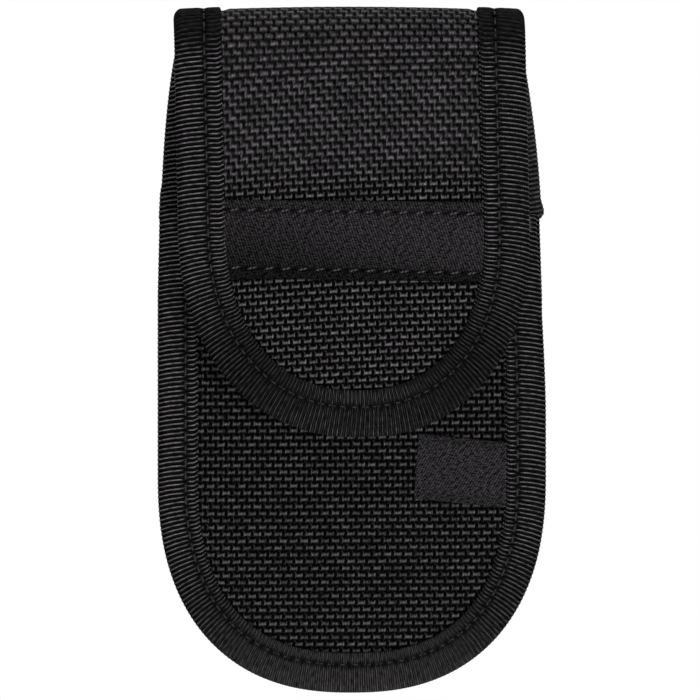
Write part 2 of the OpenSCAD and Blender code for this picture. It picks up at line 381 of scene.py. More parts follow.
@dataclass
class Surface:
    """A mesh in the making: points in metres, quads, closing faces, and what the finish reads."""

    points: Array
    quads: Array
    uv: Array
    # Share of painted light: 0 is painted shade in a gap, 1 painted highlight on a crest
    lift: Array
    caps: list[Array] = field(default_factory=list)

    @classmethod
    def laid(
        cls, face: Face, across: Array, run: Array, height: Array, lift: Array,
        uv: Array | None = None, keep: Array | None = None,
    ) -> "Surface":
        """Lays rows and columns of places on a face and joins them into quads.

        Every row is a closed loop and both ends are capped, unless some quads of an open sheet are
        kept. An axis before rows and columns makes many such tubes at once.

        Args:
            face: Face that carries the places.
            across: Distance across of each place.
            run: Distance along of each place.
            height: Height of each place over the face.
            lift: Share of painted light of each place, from 0 for painted shade in a gap to 1 for painted
                highlight on a crest.
            uv: Texture places in millimetres, or None for across and run.
            keep: Which quads of an open sheet stay, or None for a closed piece.

        Returns:
            The joined surface.
        """
        points = face.place(across, run, height)
        shape = points.shape[:-1]
        uv = np.broadcast_to(pairs(across, run) if uv is None else uv, (*shape, 2)).reshape(-1, 2)
        lift = np.broadcast_to(lift, shape).ravel()
        points = points.reshape(-1, 3)
        index = np.arange(shape[-2] * shape[-1]).reshape(shape[-2:])
        ring = np.concatenate([index, index[:, :1]], axis=1) if keep is None else index
        quads = np.stack([ring[:-1, :-1], ring[:-1, 1:], ring[1:, 1:], ring[1:, :-1]], axis=-1)
        if keep is not None:
            used, places = np.unique(quads[keep], return_inverse=True)
            return cls(points[used], places.reshape(-1, 4), uv[used], lift[used])
        starts = np.arange(0, len(points), index.size)
        quads = (quads.reshape(-1, 4) + starts[:, None, None]).reshape(-1, 4)
        caps = [end + start for start in starts for end in (index[0, ::-1], index[-1])]
        return cls(points, quads, uv, lift, caps)

    @classmethod
    def joined(cls, parts: list["Surface"]) -> "Surface":
        """Puts surfaces into one mesh.

        Args:
            parts: Surfaces to join.

        Returns:
            One surface with all their faces.
        """
        starts = np.cumsum([0] + [len(part.points) for part in parts])
        return cls(
            np.concatenate([part.points for part in parts]),
            np.concatenate([part.quads + start for part, start in zip(parts, starts)]),
            np.concatenate([part.uv for part in parts]),
            np.concatenate([part.lift for part in parts]),
            [cap + start for part, start in zip(parts, starts) for cap in part.caps],
        )

    def turn_outward(self, towards: Point | None) -> None:
        """Turns the faces outwards.

        An open sheet faces the given way on average; a closed one has a positive volume, the sum of
        its faces' centres times their area vectors.

        Args:
            towards: Way that an open sheet faces, or None for a closed one.
        """
        corner = self.points[self.quads]
        area = np.cross(corner[:, 2] - corner[:, 0], corner[:, 3] - corner[:, 1])
        middle = corner.mean(axis=1) - self.points.mean(axis=0)
        score = np.sum(area @ np.array(towards)) if towards else np.sum(area * middle)
        if score < 0.0:
            self.quads = self.quads[:, ::-1]
            self.caps = [cap[::-1] for cap in self.caps]

    def build(
        self, name: str, finish: "Finish", place: Seat, *nodes: str, towards: Point | None = None
    ) -> Object:
        """Makes the piece, and fixes it to its body; a piece that lies across a fold is left free, with
        its transform applied.

        Args:
            name: Name of the piece.
            finish: Finish that it gets.
            place: Body that carries it, or fold that it lies across.
            nodes: Solids that it stands for.
            towards: Way that an open sheet faces, or None for a closed one.

        Returns:
            The new object, at the origin.
        """
        self.turn_outward(towards)
        faces = np.concatenate([self.quads.ravel(), *self.caps])
        counts = np.array([4] * len(self.quads) + [len(cap) for cap in self.caps])
        starts = np.cumsum(counts) - counts
        mesh = bpy.data.meshes.new(name)
        mesh.vertices.add(len(self.points))
        mesh.vertices.foreach_set("co", self.points.astype(np.float32).ravel())
        mesh.loops.add(len(faces))
        mesh.loops.foreach_set("vertex_index", faces.astype(np.int32))
        mesh.polygons.add(len(counts))
        mesh.polygons.foreach_set("loop_start", starts.astype(np.int32))
        mesh.polygons.foreach_set("use_smooth", np.ones(len(counts), bool))
        mesh.update(calc_edges=True)
        mesh.uv_layers.new(name="cloth").data.foreach_set("uv", self.uv[faces].astype(np.float32).ravel())
        # The share of painted light goes to the finish as the lift attribute
        lift = mesh.attributes.new("lift", "FLOAT", "POINT")
        lift.data.foreach_set("value", self.lift.astype(np.float32))
        mesh.materials.append(finish.material())
        piece = linked(name, mesh)
        if place in FOLDS:
            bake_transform(piece)
        else:
            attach(piece, place.value)
        if nodes:
            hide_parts(*nodes)
        log.info("%s: %d faces on %s", name, len(counts), place.value)
        return piece


def declare(
    piece: Object, held: str, width: float, length: float, area: float = 0.0, **more: object
) -> None:
    """Takes what flat cloth a piece was cut from but keeps none of it; only a given area is turned into
    square metres.

    Args:
        piece: The seated piece; not used.
        held: How the cloth is held; not used.
        width: Flat width in millimetres; not used.
        length: Flat length in millimetres; not used.
        area: Flat area in square millimetres, where the cut isn't a rectangle.
        more: Pieces that lie on it; not used.
    """
    if area:
        more["area"] = area * MM * MM


@dataclass(frozen=True)
class EdgePath:
    """An edge laid out on a face: its points, the way inwards from it and the distance along it."""

    across: Array
    run: Array
    in_across: Array
    in_run: Array

    @property
    def distance(self) -> Array:
        """Distance along the edge at each of its points."""
        steps = np.hypot(np.diff(self.across), np.diff(self.run))
        return np.concatenate([[0.0], np.cumsum(steps)])

    @property
    def length(self) -> float:
        """Distance from one end of the edge to the other."""
        return self.distance[-1]

    def at(self, along: Array, inset: Array) -> tuple[Array, Array]:
        """Finds places at distances along the edge and inwards from it.

        Args:
            along: Distance along the edge.
            inset: Distance inwards, of a shape that goes with along.

        Returns:
            Distance across and run of each place.
        """
        values = (self.across, self.run, self.in_across, self.in_run)
        across, run, in_across, in_run = (np.interp(along, self.distance, each) for each in values)
        return across + inset * in_across, run + inset * in_run

    def sideways(self, along: Array) -> Array:
        """How far the way inwards points across, from -1 on the right side to 1 on the left."""
        return np.interp(along, self.distance, self.in_across)


def straight(start: Flat, stop: Flat) -> EdgePath:
    """A straight edge, with the way inwards to the right of its course.

    Args:
        start: Distance across and run of its first end.
        stop: The same of its last end.

    Returns:
        The edge.
    """
    across, run = np.array([start, stop]).T
    length = np.hypot(across[1] - across[0], run[1] - run[0])
    in_across, in_run = (run[0] - run[1]) / length, (across[1] - across[0]) / length
    return EdgePath(across, run, np.full(2, in_across), np.full(2, in_run))


@dataclass(frozen=True)
class Outline:
    """A U-shaped panel: straight or tapered sides and a rounded end, |x/a|^p + |r/b|^p = 1."""

    half: float
    end: float
    power: float
    start: float
    turn: float
    top_half: float = 0.0
    top_run: float = 0.0
    corners: int = 721
    plate_rows: int = 90
    plate_columns: int = 41
    plate_tip: Flat = (0.05, 0.02)

    @property
    def last(self) -> float:
        """Run at which the rounded end is reached."""
        return self.turn + self.end

    def half_width(self, run: Array, inset: float) -> Array:
        """Half width inside an inset at each run, from the sides and then from the rounded end.

        Args:
            run: Distance down the face.
            inset: Distance inwards from the edge.

        Returns:
            Half widths, which are zero past the end.
        """
        side = np.full_like(run, self.half)
        if self.top_half:
            side = np.interp(run, [self.top_run, self.start], [self.top_half, self.half])
        share = np.clip((run - self.turn) / (self.end - inset), 0.0, 1.0)
        return (side - inset) * (1.0 - share**self.power) ** (1.0 / self.power)

    def flat(self, inset: float, first: float) -> tuple[float, float, float]:
        """Flat size inside an inset from a run to the end, its area the sum of many thin strips.

        Args:
            inset: Distance inwards from the edge.
            first: Run at which the cloth starts.

        Returns:
            Width, length and area.
        """
        run = np.linspace(first, self.last - inset, MEASURING_STEPS)
        length = self.last - inset - first
        area = np.mean(2.0 * self.half_width(run, inset)) * length
        return 2 * (self.half - inset), length, float(area)

    def path(self, pinches: Flat = (0.0, 0.0), beyond: Flat = (0.0, 0.0)) -> EdgePath:
        """The edge from the top left round the end to the top right, with inward normals.

        Args:
            pinches: How far each side is drawn in at its top.
            beyond: How far below the start each side begins.

        Returns:
            The edge.
        """
        angle = np.linspace(0.0, np.pi, self.corners)
        share_x = -squared_off(np.cos(angle), self.power)
        share_r = squared_off(np.sin(angle), self.power)
        slope_x = -np.sign(share_x) * np.abs(share_x) ** (self.power - 1) / self.half
        slope_r = -(share_r ** (self.power - 1)) / self.end
        size = np.hypot(slope_x, slope_r)
        left, right = pinches
        first, last = (self.start + step for step in beyond)
        full = self.start + SIZES.pinch_run
        sides = [left - self.half, -self.half], [self.half, self.half - right]
        return EdgePath(
            np.concatenate([sides[0], share_x * self.half, sides[1]]),
            np.concatenate([[first, full], self.turn + share_r * self.end, [full, last]]),
            np.concatenate([[1.0, 1.0], slope_x / size, [-1.0, -1.0]]),
            np.concatenate([[0.0, 0.0], slope_r / size, [0.0, 0.0]]),
        )

    def plate(self, face: Face, inset: float, first: float, low: float, thickness: float) -> Surface:
        """A thin closed sheet inside the outline: each row is a flat loop, right across and back again.

        Args:
            face: Face that carries the sheet.
            inset: Distance that the sheet ends inside the edge.
            first: Run at which it starts.
            low: Height of its lower side.
            thickness: Distance from there to its upper side.

        Returns:
            The closed sheet.
        """
        tip_half, tip_gap = self.plate_tip
        share = np.sin(np.linspace(0.0, np.pi / 2, self.plate_rows))[:, None]
        run = first + (self.last - inset - tip_gap - first) * share
        side = np.linspace(-1.0, 1.0, self.plate_columns)
        loop, height = there_and_back(side, low, low + thickness)
        across = np.maximum(self.half_width(run, inset), tip_half) * loop
        return Surface.laid(face, across, run, height, 1.0)


POCKET_OUTLINE = Outline(
    SIZES.pocket_half, SIZES.pocket_end, SIZES.pocket_power, 0.0, SIZES.mouth - SIZES.pocket_end
)
BACK_OUTLINE = replace(
    POCKET_OUTLINE,
    start=SIZES.run_at(SIZES.mouth),
    turn=SIZES.run_at(SIZES.pocket_end),
    top_half=SIZES.shoulder_half,
    top_run=SIZES.run_at(SIZES.fold_z - SIZES.shoulder_run),
)
FLAP_TURN = SIZES.run_at(SIZES.height - SIZES.flap_length + SIZES.flap_end)
FLAP_OUTLINE = Outline(SIZES.shoulder_half, SIZES.flap_end, SIZES.flap_power, 0.0, FLAP_TURN)


class Nodes:
    """The node tree of a material or a world, with short calls for the nodes that are used here."""

    def __init__(self, owner: bpy.types.Material | bpy.types.World) -> None:
        """Starts from the owner's own plain tree."""
        owner.use_nodes = True
        self.tree = owner.node_tree

    def feed(self, node: bpy.types.Node, inputs: dict[str | int, object]) -> None:
        """Sets or links inputs of a node.

        Args:
            node: Node that is fed.
            inputs: Values or output sockets by input name or number.
        """
        for key, value in inputs.items():
            if isinstance(value, Socket):
                self.tree.links.new(value, node.inputs[key])
            else:
                node.inputs[key].default_value = value

    def add(
        self, kind: str, inputs: dict[str | int, object], output: str | int = 0, **settings: object
    ) -> Socket:
        """Adds a node, sets it up and feeds it.

        Args:
            kind: Blender's name of the node type.
            inputs: Values or output sockets by input name or number.
            output: Name or number of the output that is wanted.
            settings: Properties of the node.

        Returns:
            That output.
        """
        node = self.tree.nodes.new(kind)
        for key, value in settings.items():
            setattr(node, key, value)
        self.feed(node, inputs)
        return node.outputs[output]

    def math(self, operation: str, first: object, second: object) -> Socket:
        """Adds one step of arithmetic and gives its result."""
        return self.add("ShaderNodeMath", {0: first, 1: second}, operation=operation)

    def noise(self, scale: Flat, turn: float = 0.0, detail: float = 2.0) -> Socket:
        """Even noise from 0 to 1 about a half, on the piece's own texture place.

        Args:
            scale: Grains in a millimetre across and along.
            turn: Angle by which the grain is turned.
            detail: Finer steps of the noise.

        Returns:
            The noise.
        """
        place = self.add("ShaderNodeUVMap", {}, uv_map="cloth")
        moved = {"Vector": place, "Scale": (*scale, 1.0), "Rotation": (0.0, 0.0, turn)}
        vector = self.add("ShaderNodeMapping", moved)
        return self.add("ShaderNodeTexNoise", {"Vector": vector, "Scale": 1.0, "Detail": detail})

    def ranged(self, noise: Socket, reach: float, middle: float, change: float) -> Socket:
        """Maps noise within a reach of a half to values within a change of a middle, held beyond it.

        Args:
            noise: The noise.
            reach: How far from a half it counts.
            middle: Value at a half.
            change: Difference from it at the reach.

        Returns:
            The value.
        """
        limits = {"From Min": 0.5 - reach, "From Max": 0.5 + reach}
        limits |= {"To Min": middle - change, "To Max": middle + change}
        return self.add("ShaderNodeMapRange", limits | {"Value": noise})

    def background_share(self) -> Socket:
        """Tells rays that see the surroundings from rays that only carry light.

        Returns:
            A share of 1 for what is seen straight, off gloss or through glass.
        """
        rays = self.tree.nodes.new("ShaderNodeLightPath").outputs
        seen = self.math("MAXIMUM", rays["Is Camera Ray"], rays["Is Glossy Ray"])
        return self.math("MAXIMUM", seen, rays["Is Transmission Ray"])


@dataclass(frozen=True)
class Finish:
    """A yarn finish: painted shade in the gaps and painted highlight on the crests, both by the lift,
    uneven dye, fine fibre grain and a soft gloss.
    """

    name: str
    slot: str
    crest: Point
    gap: float
    roughness: float
    specular: float
    sheen: float = 0.0
    sheen_roughness: float = 0.4
    bias: float = 1.0
    grain: Flat = (2.0, 9.0)
    grain_turn: float = 0.0
    grain_depth: float = 0.05
    streak: float = 0.3
    fibre_range: float = 0.2
    dye: Flat = (0.35, 0.5)
    dye_detail: float = 3.0
    dye_range: float = 0.2
    blotch: float = 0.08
    gloss_range: float = 0.3
    gloss_change: float = 0.08

    def material(self) -> bpy.types.Material:
        """Makes the material once.

        The piece's lift, raised to the bias, mixes the gap's colour into the crest's, painted shade
        between the yarns and painted highlight on their crests, and scales the gloss, so that the
        painted shade also takes the reflection out of the gaps. Noise along the fibres streaks the
        colour, the roughness and a fine bump, and wider noise makes the dye uneven.

        Returns:
            The material of this finish.
        """
        if self.name in bpy.data.materials:
            return bpy.data.materials[self.name]
        material = bpy.data.materials.new(self.name)
        nodes = Nodes(material)
        lift = nodes.add("ShaderNodeAttribute", {}, "Fac", attribute_name="lift")
        raised = nodes.math("POWER", lift, self.bias)
        fibre = nodes.noise(self.grain, self.grain_turn)
        dye = nodes.noise(self.dye, detail=self.dye_detail)
        # Painted shade in the gaps and painted highlight on the crests, mixed by the raised lift
        colours = {"Factor": raised, 6: (self.gap, self.gap, self.gap, 1.0), 7: (*self.crest, 1.0)}
        colour = nodes.add("ShaderNodeMix", colours, 2, data_type="RGBA")
        streak = nodes.ranged(fibre, self.fibre_range, 1.0, self.streak)
        patch = nodes.ranged(dye, self.dye_range, 1.0, self.blotch)
        shade = nodes.math("MULTIPLY", streak, patch)
        tinted = nodes.add("ShaderNodeVectorMath", {0: colour, "Scale": shade}, operation="SCALE")
        bump = {"Strength": 1.0, "Distance": self.grain_depth * MM, "Height": fibre}
        nodes.feed(nodes.tree.nodes["Principled BSDF"], {
            "Base Color": tinted,
            "Roughness": nodes.ranged(fibre, self.gloss_range, self.roughness, self.gloss_change),
            "Normal": nodes.add("ShaderNodeBump", bump),
            # Painted shade on the gloss too: no reflection in the gaps
            "Specular IOR Level": nodes.math("MULTIPLY", raised, self.specular),
            "Sheen Weight": self.sheen,
            "Sheen Roughness": self.sheen_roughness,
        })
        return material


# Each gap colour is painted shade between the yarns and each crest colour painted highlight on them; a
# high bias narrows the highlight to thin lines
CLOTH = Finish(
    "woven_cloth", "cloth", (0.089, 0.082, 0.089), 0.002, 0.65, 0.08,
    bias=2.0, grain=(2.8, 1.4), grain_turn=0.5, streak=0.9,
)
TAPE = Finish(
    "ribbed_tape", "tape", (0.15, 0.138, 0.15), 0.003, 0.65, 0.08, bias=8.0, grain=(3.4, 0.8), streak=0.75
)
LINING = Finish("lining_cloth", "lining", (0.03, 0.028, 0.03), 0.012, 0.65, 0.1, grain=(5.0, 5.0))
BOARD = Finish("stiffener_board", "stiffener", (0.09, 0.088, 0.085), 0.05, 0.7, 0.15, grain=(1.0, 1.0))
ELASTIC = Finish("ribbed_elastic", "elastic", (0.04, 0.037, 0.04), 0.004, 0.6, 0.1, bias=1.5)
WEBBING = Finish("belt_webbing", "webbing", (0.05, 0.046, 0.05), 0.003, 0.55, 0.12, bias=1.4)
LOOPS = Finish("loop_pile", "loop", (0.05, 0.047, 0.051), 0.006, 0.7, 0.08, sheen=0.1)
HOOKS = Finish("hook_pile", "hook", (0.045, 0.043, 0.046), 0.006, 0.4, 0.15)
LABEL = Finish(
    "label_satin", "label", (0.027, 0.0243, 0.027), 0.002, 0.6, 0.06,
    streak=0.95, fibre_range=0.13, grain=(1.4, 3.5), grain_turn=1.1,
)
LABEL_THREAD = Finish("label_thread", "label", (0.11, 0.102, 0.11), 0.004, 0.6, 0.08, bias=1.4)
THREAD = Finish("sewing_thread", "tape", (0.025, 0.023, 0.025), 0.002, 0.6, 0.08)


@dataclass(frozen=True)
class Weave:
    """A plain weave of thick bent wefts over thin straight warps.

    Pitches and heights are in millimetres, and what lies across or along a yarn is counted in yarns.
    """

    warp_pitch: float
    weft_pitch: float = 1.251
    warp_half: float = 0.2
    weft_half: float = 0.44
    warp_round: float = 0.2
    weft_round: float = 0.45
    warp_crimp: float = 0.06
    weft_crimp: float = 0.24
    warp_aside: float = 0.2
    flat: float = 3.0
    longer: float = 0.8
    lean: float = 0.3
    sag: float = 0.06
    turn_up: Flat = (0.38, 0.33)
    # Painted highlight on a float's turned-up ends, as a share of that on its back
    turn_shade: float = 1.0
    turn_half: float = 0.14
    turn_ease: float = 0.15
    turn_down: float = 0.1
    float_half: float = 0.57
    # Least painted light, which lightens the painted shade in the gaps
    haze: float = 0.0
    floor: float = -0.2
    # Painted light on the warps' crests
    warp_shade: float = 0.65
    # Power that narrows the painted highlight along a weft's back
    narrow: float = 1.0
    uneven: float = 0.3
    # Dims all the painted light of a piece
    shade: float = 1.0
    warp_steps: int = 5
    weft_steps: int = 6
    hidden_rows: int = 0
    hidden_steps: int = 4
    slant_from: float = 6.0
    slant_run: float = 24.0
    lower_from: float = 37.0
    lower_run: float = 11.0

    def relief(self, warp: Array, weft: Array) -> tuple[Array, Array]:
        """Upper side of the woven yarns.

        A yarn is a half ellipse across its width, and a weft's back sags below its middle. A weft
        follows a flattened cosine of the warp count, a long way over one warp and briefly under the
        next, with neighbours half a turn apart and the twist leaning each end; a warp does the
        opposite, less. The relief is the higher of the two, or the floor between them. A painted
        highlight lies on a narrow line along each weft's back, low where the sag puts it, and on both
        of its turned-up ends, with painted light on the warps' crests and painted shade in the gaps,
        which a haze lightens; each float also differs a little in tone at random, and the shade dims
        a whole piece's painted light.

        Args:
            warp: Place across the cloth, counted in warps.
            weft: Place along the cloth, counted in wefts.

        Returns:
            Height under the highest yarn, and the share of painted light, from 0 for painted shade in a
            gap to 1 for a painted highlight on a weft's back.
        """
        row = np.round(weft)
        leaned = warp + self.lean * (weft - row)
        column = np.round(leaned)
        below = weft - row - self.sag
        hump = arch(below / (self.weft_half - np.sign(below) * self.sag)) ** 2
        beside = np.mod(leaned + row + 1.0, 2.0) - 1.0
        past = np.abs(beside) - self.float_half
        reach = below + self.sag + np.where(beside < 0.0, *self.turn_up)
        ends = bell(past, self.turn_half) * smooth(reach / self.turn_ease)
        ends = ends * smooth(1.0 - (below - self.turn_down) / self.turn_ease)
        back = hump**self.narrow * smooth(1.0 - past / self.turn_half)
        hump = np.maximum(hump, ends)
        swing = np.cos(np.pi * (leaned + row)) + self.longer
        over = np.sin(np.pi / 2 * np.clip(self.flat * swing, -1.0, 1.0))
        weft_top = over * self.weft_crimp + np.sqrt(hump) * self.weft_round
        weft_top = np.where(hump > 0.0, weft_top, self.floor)
        ridge = arch((leaned - column - self.warp_aside) / self.warp_half)
        rise = -np.cos(np.pi * (weft + column))
        warp_top = np.where(ridge > 0.0, rise * self.warp_crimp + ridge * self.warp_round, self.floor)
        top = np.maximum(np.maximum(weft_top, warp_top), self.floor)
        # Painted highlight along each weft's back and on its turned-up ends, and painted light on the
        # warps' crests
        weft_share = np.maximum(back, self.turn_shade * ends)
        warp_share = self.warp_shade * ridge * np.clip(0.5 + rise, 0.0, 1.0)
        # Painted shade in the gaps, lightened by the haze
        share = least(self.haze, np.where(weft_top >= warp_top, weft_share, warp_share))
        each = 1.0 + self.uneven * (scatter(row, np.round((warp + row) / 2)) - 0.5)
        # The shade dims the piece's painted light; each float's random tone is its own
        return top - self.weft_crimp - self.weft_round, np.clip(self.shade * share * each, 0.0, 1.0)

    def panel(
        self, face: Face, outline: Outline, inset: float, first: float, last: float,
        slant: Flat = (0.0, 0.0), lower: "Weave | None" = None,
    ) -> Surface:
        """Lays the weave on a face inside an outline.

        Grid lines follow the yarns, in wider steps over the rows that the flap hides. A weft rises to
        the right by a slope times x less a bend times x squared, which fades in below the first rows.

        Args:
            face: Face that carries the cloth.
            outline: Edge of the panel.
            inset: Distance that the cloth ends inside the edge.
            first: Run at which the panel starts.
            last: Run at which it ends.
            slant: Slope and bend of the wefts.
            lower: Weave of the same pitch, with other painted light and shade, that this one passes into
                down the panel.

        Returns:
            The cloth's outer side.
        """
        columns = int(np.ceil((outline.half - inset) / self.warp_pitch))
        warp = np.linspace(-columns, columns, 2 * columns * self.warp_steps + 1)[None, :]
        rows = int(np.ceil((last - first) / self.weft_pitch))
        hidden = np.full(self.hidden_rows * self.hidden_steps, 1.0 / self.hidden_steps)
        shown = np.full((rows - self.hidden_rows) * self.weft_steps, 1.0 / self.weft_steps)
        weft = np.cumsum(np.concatenate([[-0.5], hidden, shown]))[:, None]
        across = warp * self.warp_pitch
        level = first + (weft + 0.5) * self.weft_pitch
        rise = slant[0] * across - slant[1] * across**2
        run = level - rise * smooth((level - first - self.slant_from) / self.slant_run)
        height, lift = self.relief(warp, weft)
        if lower:
            share = smooth((level - self.lower_from) / self.lower_run)
            low_height, low_lift = lower.relief(warp, weft)
            height = height + share * (low_height - height)
            lift = lift + share * (low_lift - lift)
        inside = (np.abs(across) <= outline.half_width(run, inset)) & (run <= outline.last - inset)
        keep = inside[:-1, :-1] & inside[1:, 1:] & inside[:-1, 1:] & inside[1:, :-1]
        return Surface.laid(face, across, run, height, lift, keep=keep)


@dataclass(frozen=True)
class Stitch:
    """A row of sewing: its pitch from hole to hole, its thread's radius, and how each stitch lies."""

    pitch: float
    thread: float = 0.17
    cover: float = 0.9
    tilt: float = 0.0
    twist: float = 0.0
    dip: float = 2.2
    thinner: float = 0.35
    wider: float = 1.15
    sides: int = 6
    plain_steps: int = 7
    twisted_steps: int = 13

    def row(self, face: Face, path: EdgePath, inset: float, height: float, side: float = 1.0) -> Surface:
        """Lays stitches along an edge.

        Each is a tube whose middle rises from one hole and dips into the next by the fourth power of
        its share along. It moves inwards by its tilt. A painted highlight lies on its outer side and
        painted shade on its inner side, and winds round it with its plies.

        Args:
            face: Face that carries the stitches.
            path: Edge that they follow.
            inset: Distance in from the edge.
            height: Height of the thread's middle.
            side: 1 on the outer side, or -1 on the inner one.

        Returns:
            All the stitches as one surface.
        """
        start = (np.arange(int(path.length / self.pitch)) * self.pitch)[:, None, None]
        share = np.linspace(0.0, 1.0, self.twisted_steps if self.twist else self.plain_steps)[:, None]
        turn = np.linspace(0.0, 2 * np.pi, self.sides, endpoint=False)
        along = start + self.pitch * (0.5 + self.cover * (share - 0.5))
        sunk = np.abs(2 * share - 1.0) ** 4
        radius = self.thread * (1.0 - self.thinner * sunk)
        aside = inset + self.tilt * (share - 0.5) + self.wider * radius * np.cos(turn)
        across, run = path.at(along, aside)
        over = height + side * (radius * np.sin(turn) - self.dip * self.thread * sunk)
        ply = wave(self.twist * share - turn / (2 * np.pi) + 0.25) if self.twist else 1.0
        # Painted highlight on the thread's outer side, painted shade on its inner side, wound with the
        # plies
        lift = (0.5 + 0.5 * np.sin(turn)) * ply
        return Surface.laid(face, across, run, over, lift, pairs(along, turn))


@dataclass(frozen=True)
class EdgeTape:
    """Ribbed tape folded over a panel's edge and sewn through on one line."""

    width: float
    stack: float
    stitch_in: float
    proud: float = SIZES.tape_proud
    edge: float = 1.3
    pitch: float = 0.85
    rib: float = 0.24
    rib_steps: int = 6
    edge_flat: float = 0.6
    spread: float = 0.14
    slant: float = 0.1
    slant_in: float = 0.6
    bend: float = 0.04
    bend_in: float = 2.6
    skew: float = 0.0
    hook: float = 0.45
    hook_in: float = 0.8
    jog: float = 0.25
    step: float = 0.4
    step_half: float = 0.3
    # From faint to even, apart from flatter: the ribs' painted light, faint where they run up and down
    # with twin painted lines, quiet and a little lighter over a calm run
    faint: float = 0.03
    faint_power: int = 6
    twin: float = 0.16
    flatter: float = 0.25
    quiet: float = 0.12
    calm_run: float = 7.0
    calm_light: float = 0.06
    even: float = 0.715
    groove: float = 0.24
    groove_half: float = 0.5
    groove_least: float = 0.55
    # Painted shade along the stitch groove and in its holes
    groove_dark: float = 0.18
    hole_dark: float = 0.55
    hole_power: int = 6
    stitch: Stitch = Stitch(2.35)
    thread_up: float = 0.08
    round_end: float = 0.7
    end_drop: float = 0.8
    plain: float = 0.93
    plain_run: float = 3.2
    plain_in: Flat = (0.7, 0.4)
    selvedge: tuple[Flat, ...] = ((0.0, 0.2), (0.15, 0.04))
    flat_in: float = 0.5
    flat_steps: int = 14
    turn_limit: float = 75.0
    turn_steps: int = 9
    gap: float = 0.02
    under_share: float = 0.6
    under_in: Flat = (0.6, 0.9)

    def section(self) -> tuple[Array, Array, Array, Array]:
        """The folded tape's closed section, from its front selvedge round the edge and back inside.

        Each selvedge has a small round, the edge is part of an ellipse, and the hidden inner side
        follows the layers a little way off.

        Returns:
            Distance in from the edge, height over the cloth, and both parts of the outward way,
            which is zero on the hidden inner side.
        """
        tall = self.stack / 2 + self.proud
        middle = -self.stack / 2
        flat = np.linspace(self.width - self.flat_in, self.edge, self.flat_steps)
        round_in, round_down = np.array(self.selvedge).T
        front_in = np.concatenate([[self.width], self.width - round_in, flat])
        front_up = np.concatenate([[self.gap], self.proud - round_down, self.proud + 0.0 * flat])
        turn = np.radians(np.linspace(self.turn_limit, -self.turn_limit, self.turn_steps))
        rear_up = 2 * middle - front_up[::-1]
        deep = [self.width * self.under_share, self.edge + self.under_in[0], self.under_in[1]]
        under_in = np.array(deep + deep[::-1])
        under_up = middle + np.array([-1, -1, -0.5, 0.5, 1, 1]) * (tall - self.proud + self.gap)
        front_out = np.concatenate([[0.0], np.ones(len(front_in) - 1)])
        return (
            np.concatenate([front_in, self.edge * (1.0 - np.cos(turn)), front_in[::-1], under_in]),
            np.concatenate([front_up, middle + tall * np.sin(turn), rear_up, under_up]),
            np.concatenate([0 * front_in, -np.cos(turn), 0 * front_in, 0 * under_in]),
            np.concatenate([front_out, np.sin(turn), -front_out[::-1], 0 * under_in]),
        )

    def sweep(self, face: Face, path: EdgePath, calm: float, turned_under: bool) -> Surface:
        """Carries the section along an edge with its ribs.

        Ribs are a cosine of the tape's pitch, shallower round the edge. They lie square to the edge,
        lean by a slant on the sides and a skew between them, bend down at the fold, hook over at both
        selvedges and jog at the stitch line, where a groove pulls the tape down to the holes, with
        painted shade along it that is darkest at the holes. Each rib carries a painted highlight on
        its crest. Where the ribs run up and down they are flatter, their painted highlight is faint
        and twin painted lines of half the pitch show instead. Over a calm run the painted ribs are
        quiet and a little lighter, about the even painted light of a plain tape.

        Args:
            face: Face that carries the tape.
            path: Edge that it folds over.
            calm: Run down to which the ribs' painted light is quiet, as over a fold.
            turned_under: Whether the last end is plain and rounded off.

        Returns:
            The tape's closed surface.
        """
        length = path.length
        ribs = max(2, int(round(length / self.pitch)))
        along = np.linspace(0.0, length, ribs * self.rib_steps + 1)[:, None]
        inset, height, out_in, out_up = (values[None, :] for values in self.section())
        shown = (np.abs(out_in) + np.abs(out_up) > 0.0).astype(float)
        side = path.sideways(along)
        outside = np.maximum(self.stitch_in - inset, -self.slant_in)
        lean = (side * self.slant - (1.0 - np.abs(side)) * self.skew) * outside
        lean = lean + side * self.bend * np.maximum(self.bend_in - inset, 0.0) ** 2
        hook = self.hook * smooth((inset - self.width + self.hook_in) / self.hook_in) * side
        near = bell(inset - self.stitch_in, self.groove_half)
        sewn = wave(along / self.stitch.pitch)
        jog = self.jog * np.sin(2 * np.pi * along / self.stitch.pitch) * near
        jog = jog + self.step * smooth((inset - self.stitch_in + self.step_half) / (2 * self.step_half))
        phase = (along - lean + (hook + jog) * self.pitch) * ribs / length
        rib = wave(phase + 0.5) * shown
        closed = 1.0
        if turned_under:
            gone = length - along
            plain = smooth(self.plain_run - gone) * smooth((inset - self.plain_in[0]) / self.plain_in[1])
            rib = rib + plain * (self.plain - rib)
            closed = arch(np.clip(1.0 - gone / self.round_end, 0.0, 1.0), self.end_drop)
        depth = self.rib * (1.0 - self.edge_flat * np.abs(out_in)) * least(self.flatter, side**2)
        sunk = self.groove * near * least(self.groove_least, sewn)
        push = shown * (self.spread + depth * (rib - 1.0) - sunk)
        across, run = path.at(along, inset + push * out_in)
        raised = -self.stack / 2 + (height + self.stack / 2) * closed + push * out_up
        # Painted light of the ribs: a highlight on each crest, faint with twin lines where they run up
        # and down, quiet and a little lighter over a calm run
        awake = smooth((path.at(along, 0.0)[1] - calm) / self.calm_run)
        strong = least(self.faint, side**self.faint_power) * least(self.quiet, awake)
        twin = self.twin * (1.0 - side**2) * np.cos(4 * np.pi * phase)
        seen = self.even + twin + strong * (rib - self.even) + self.calm_light * (1.0 - awake)
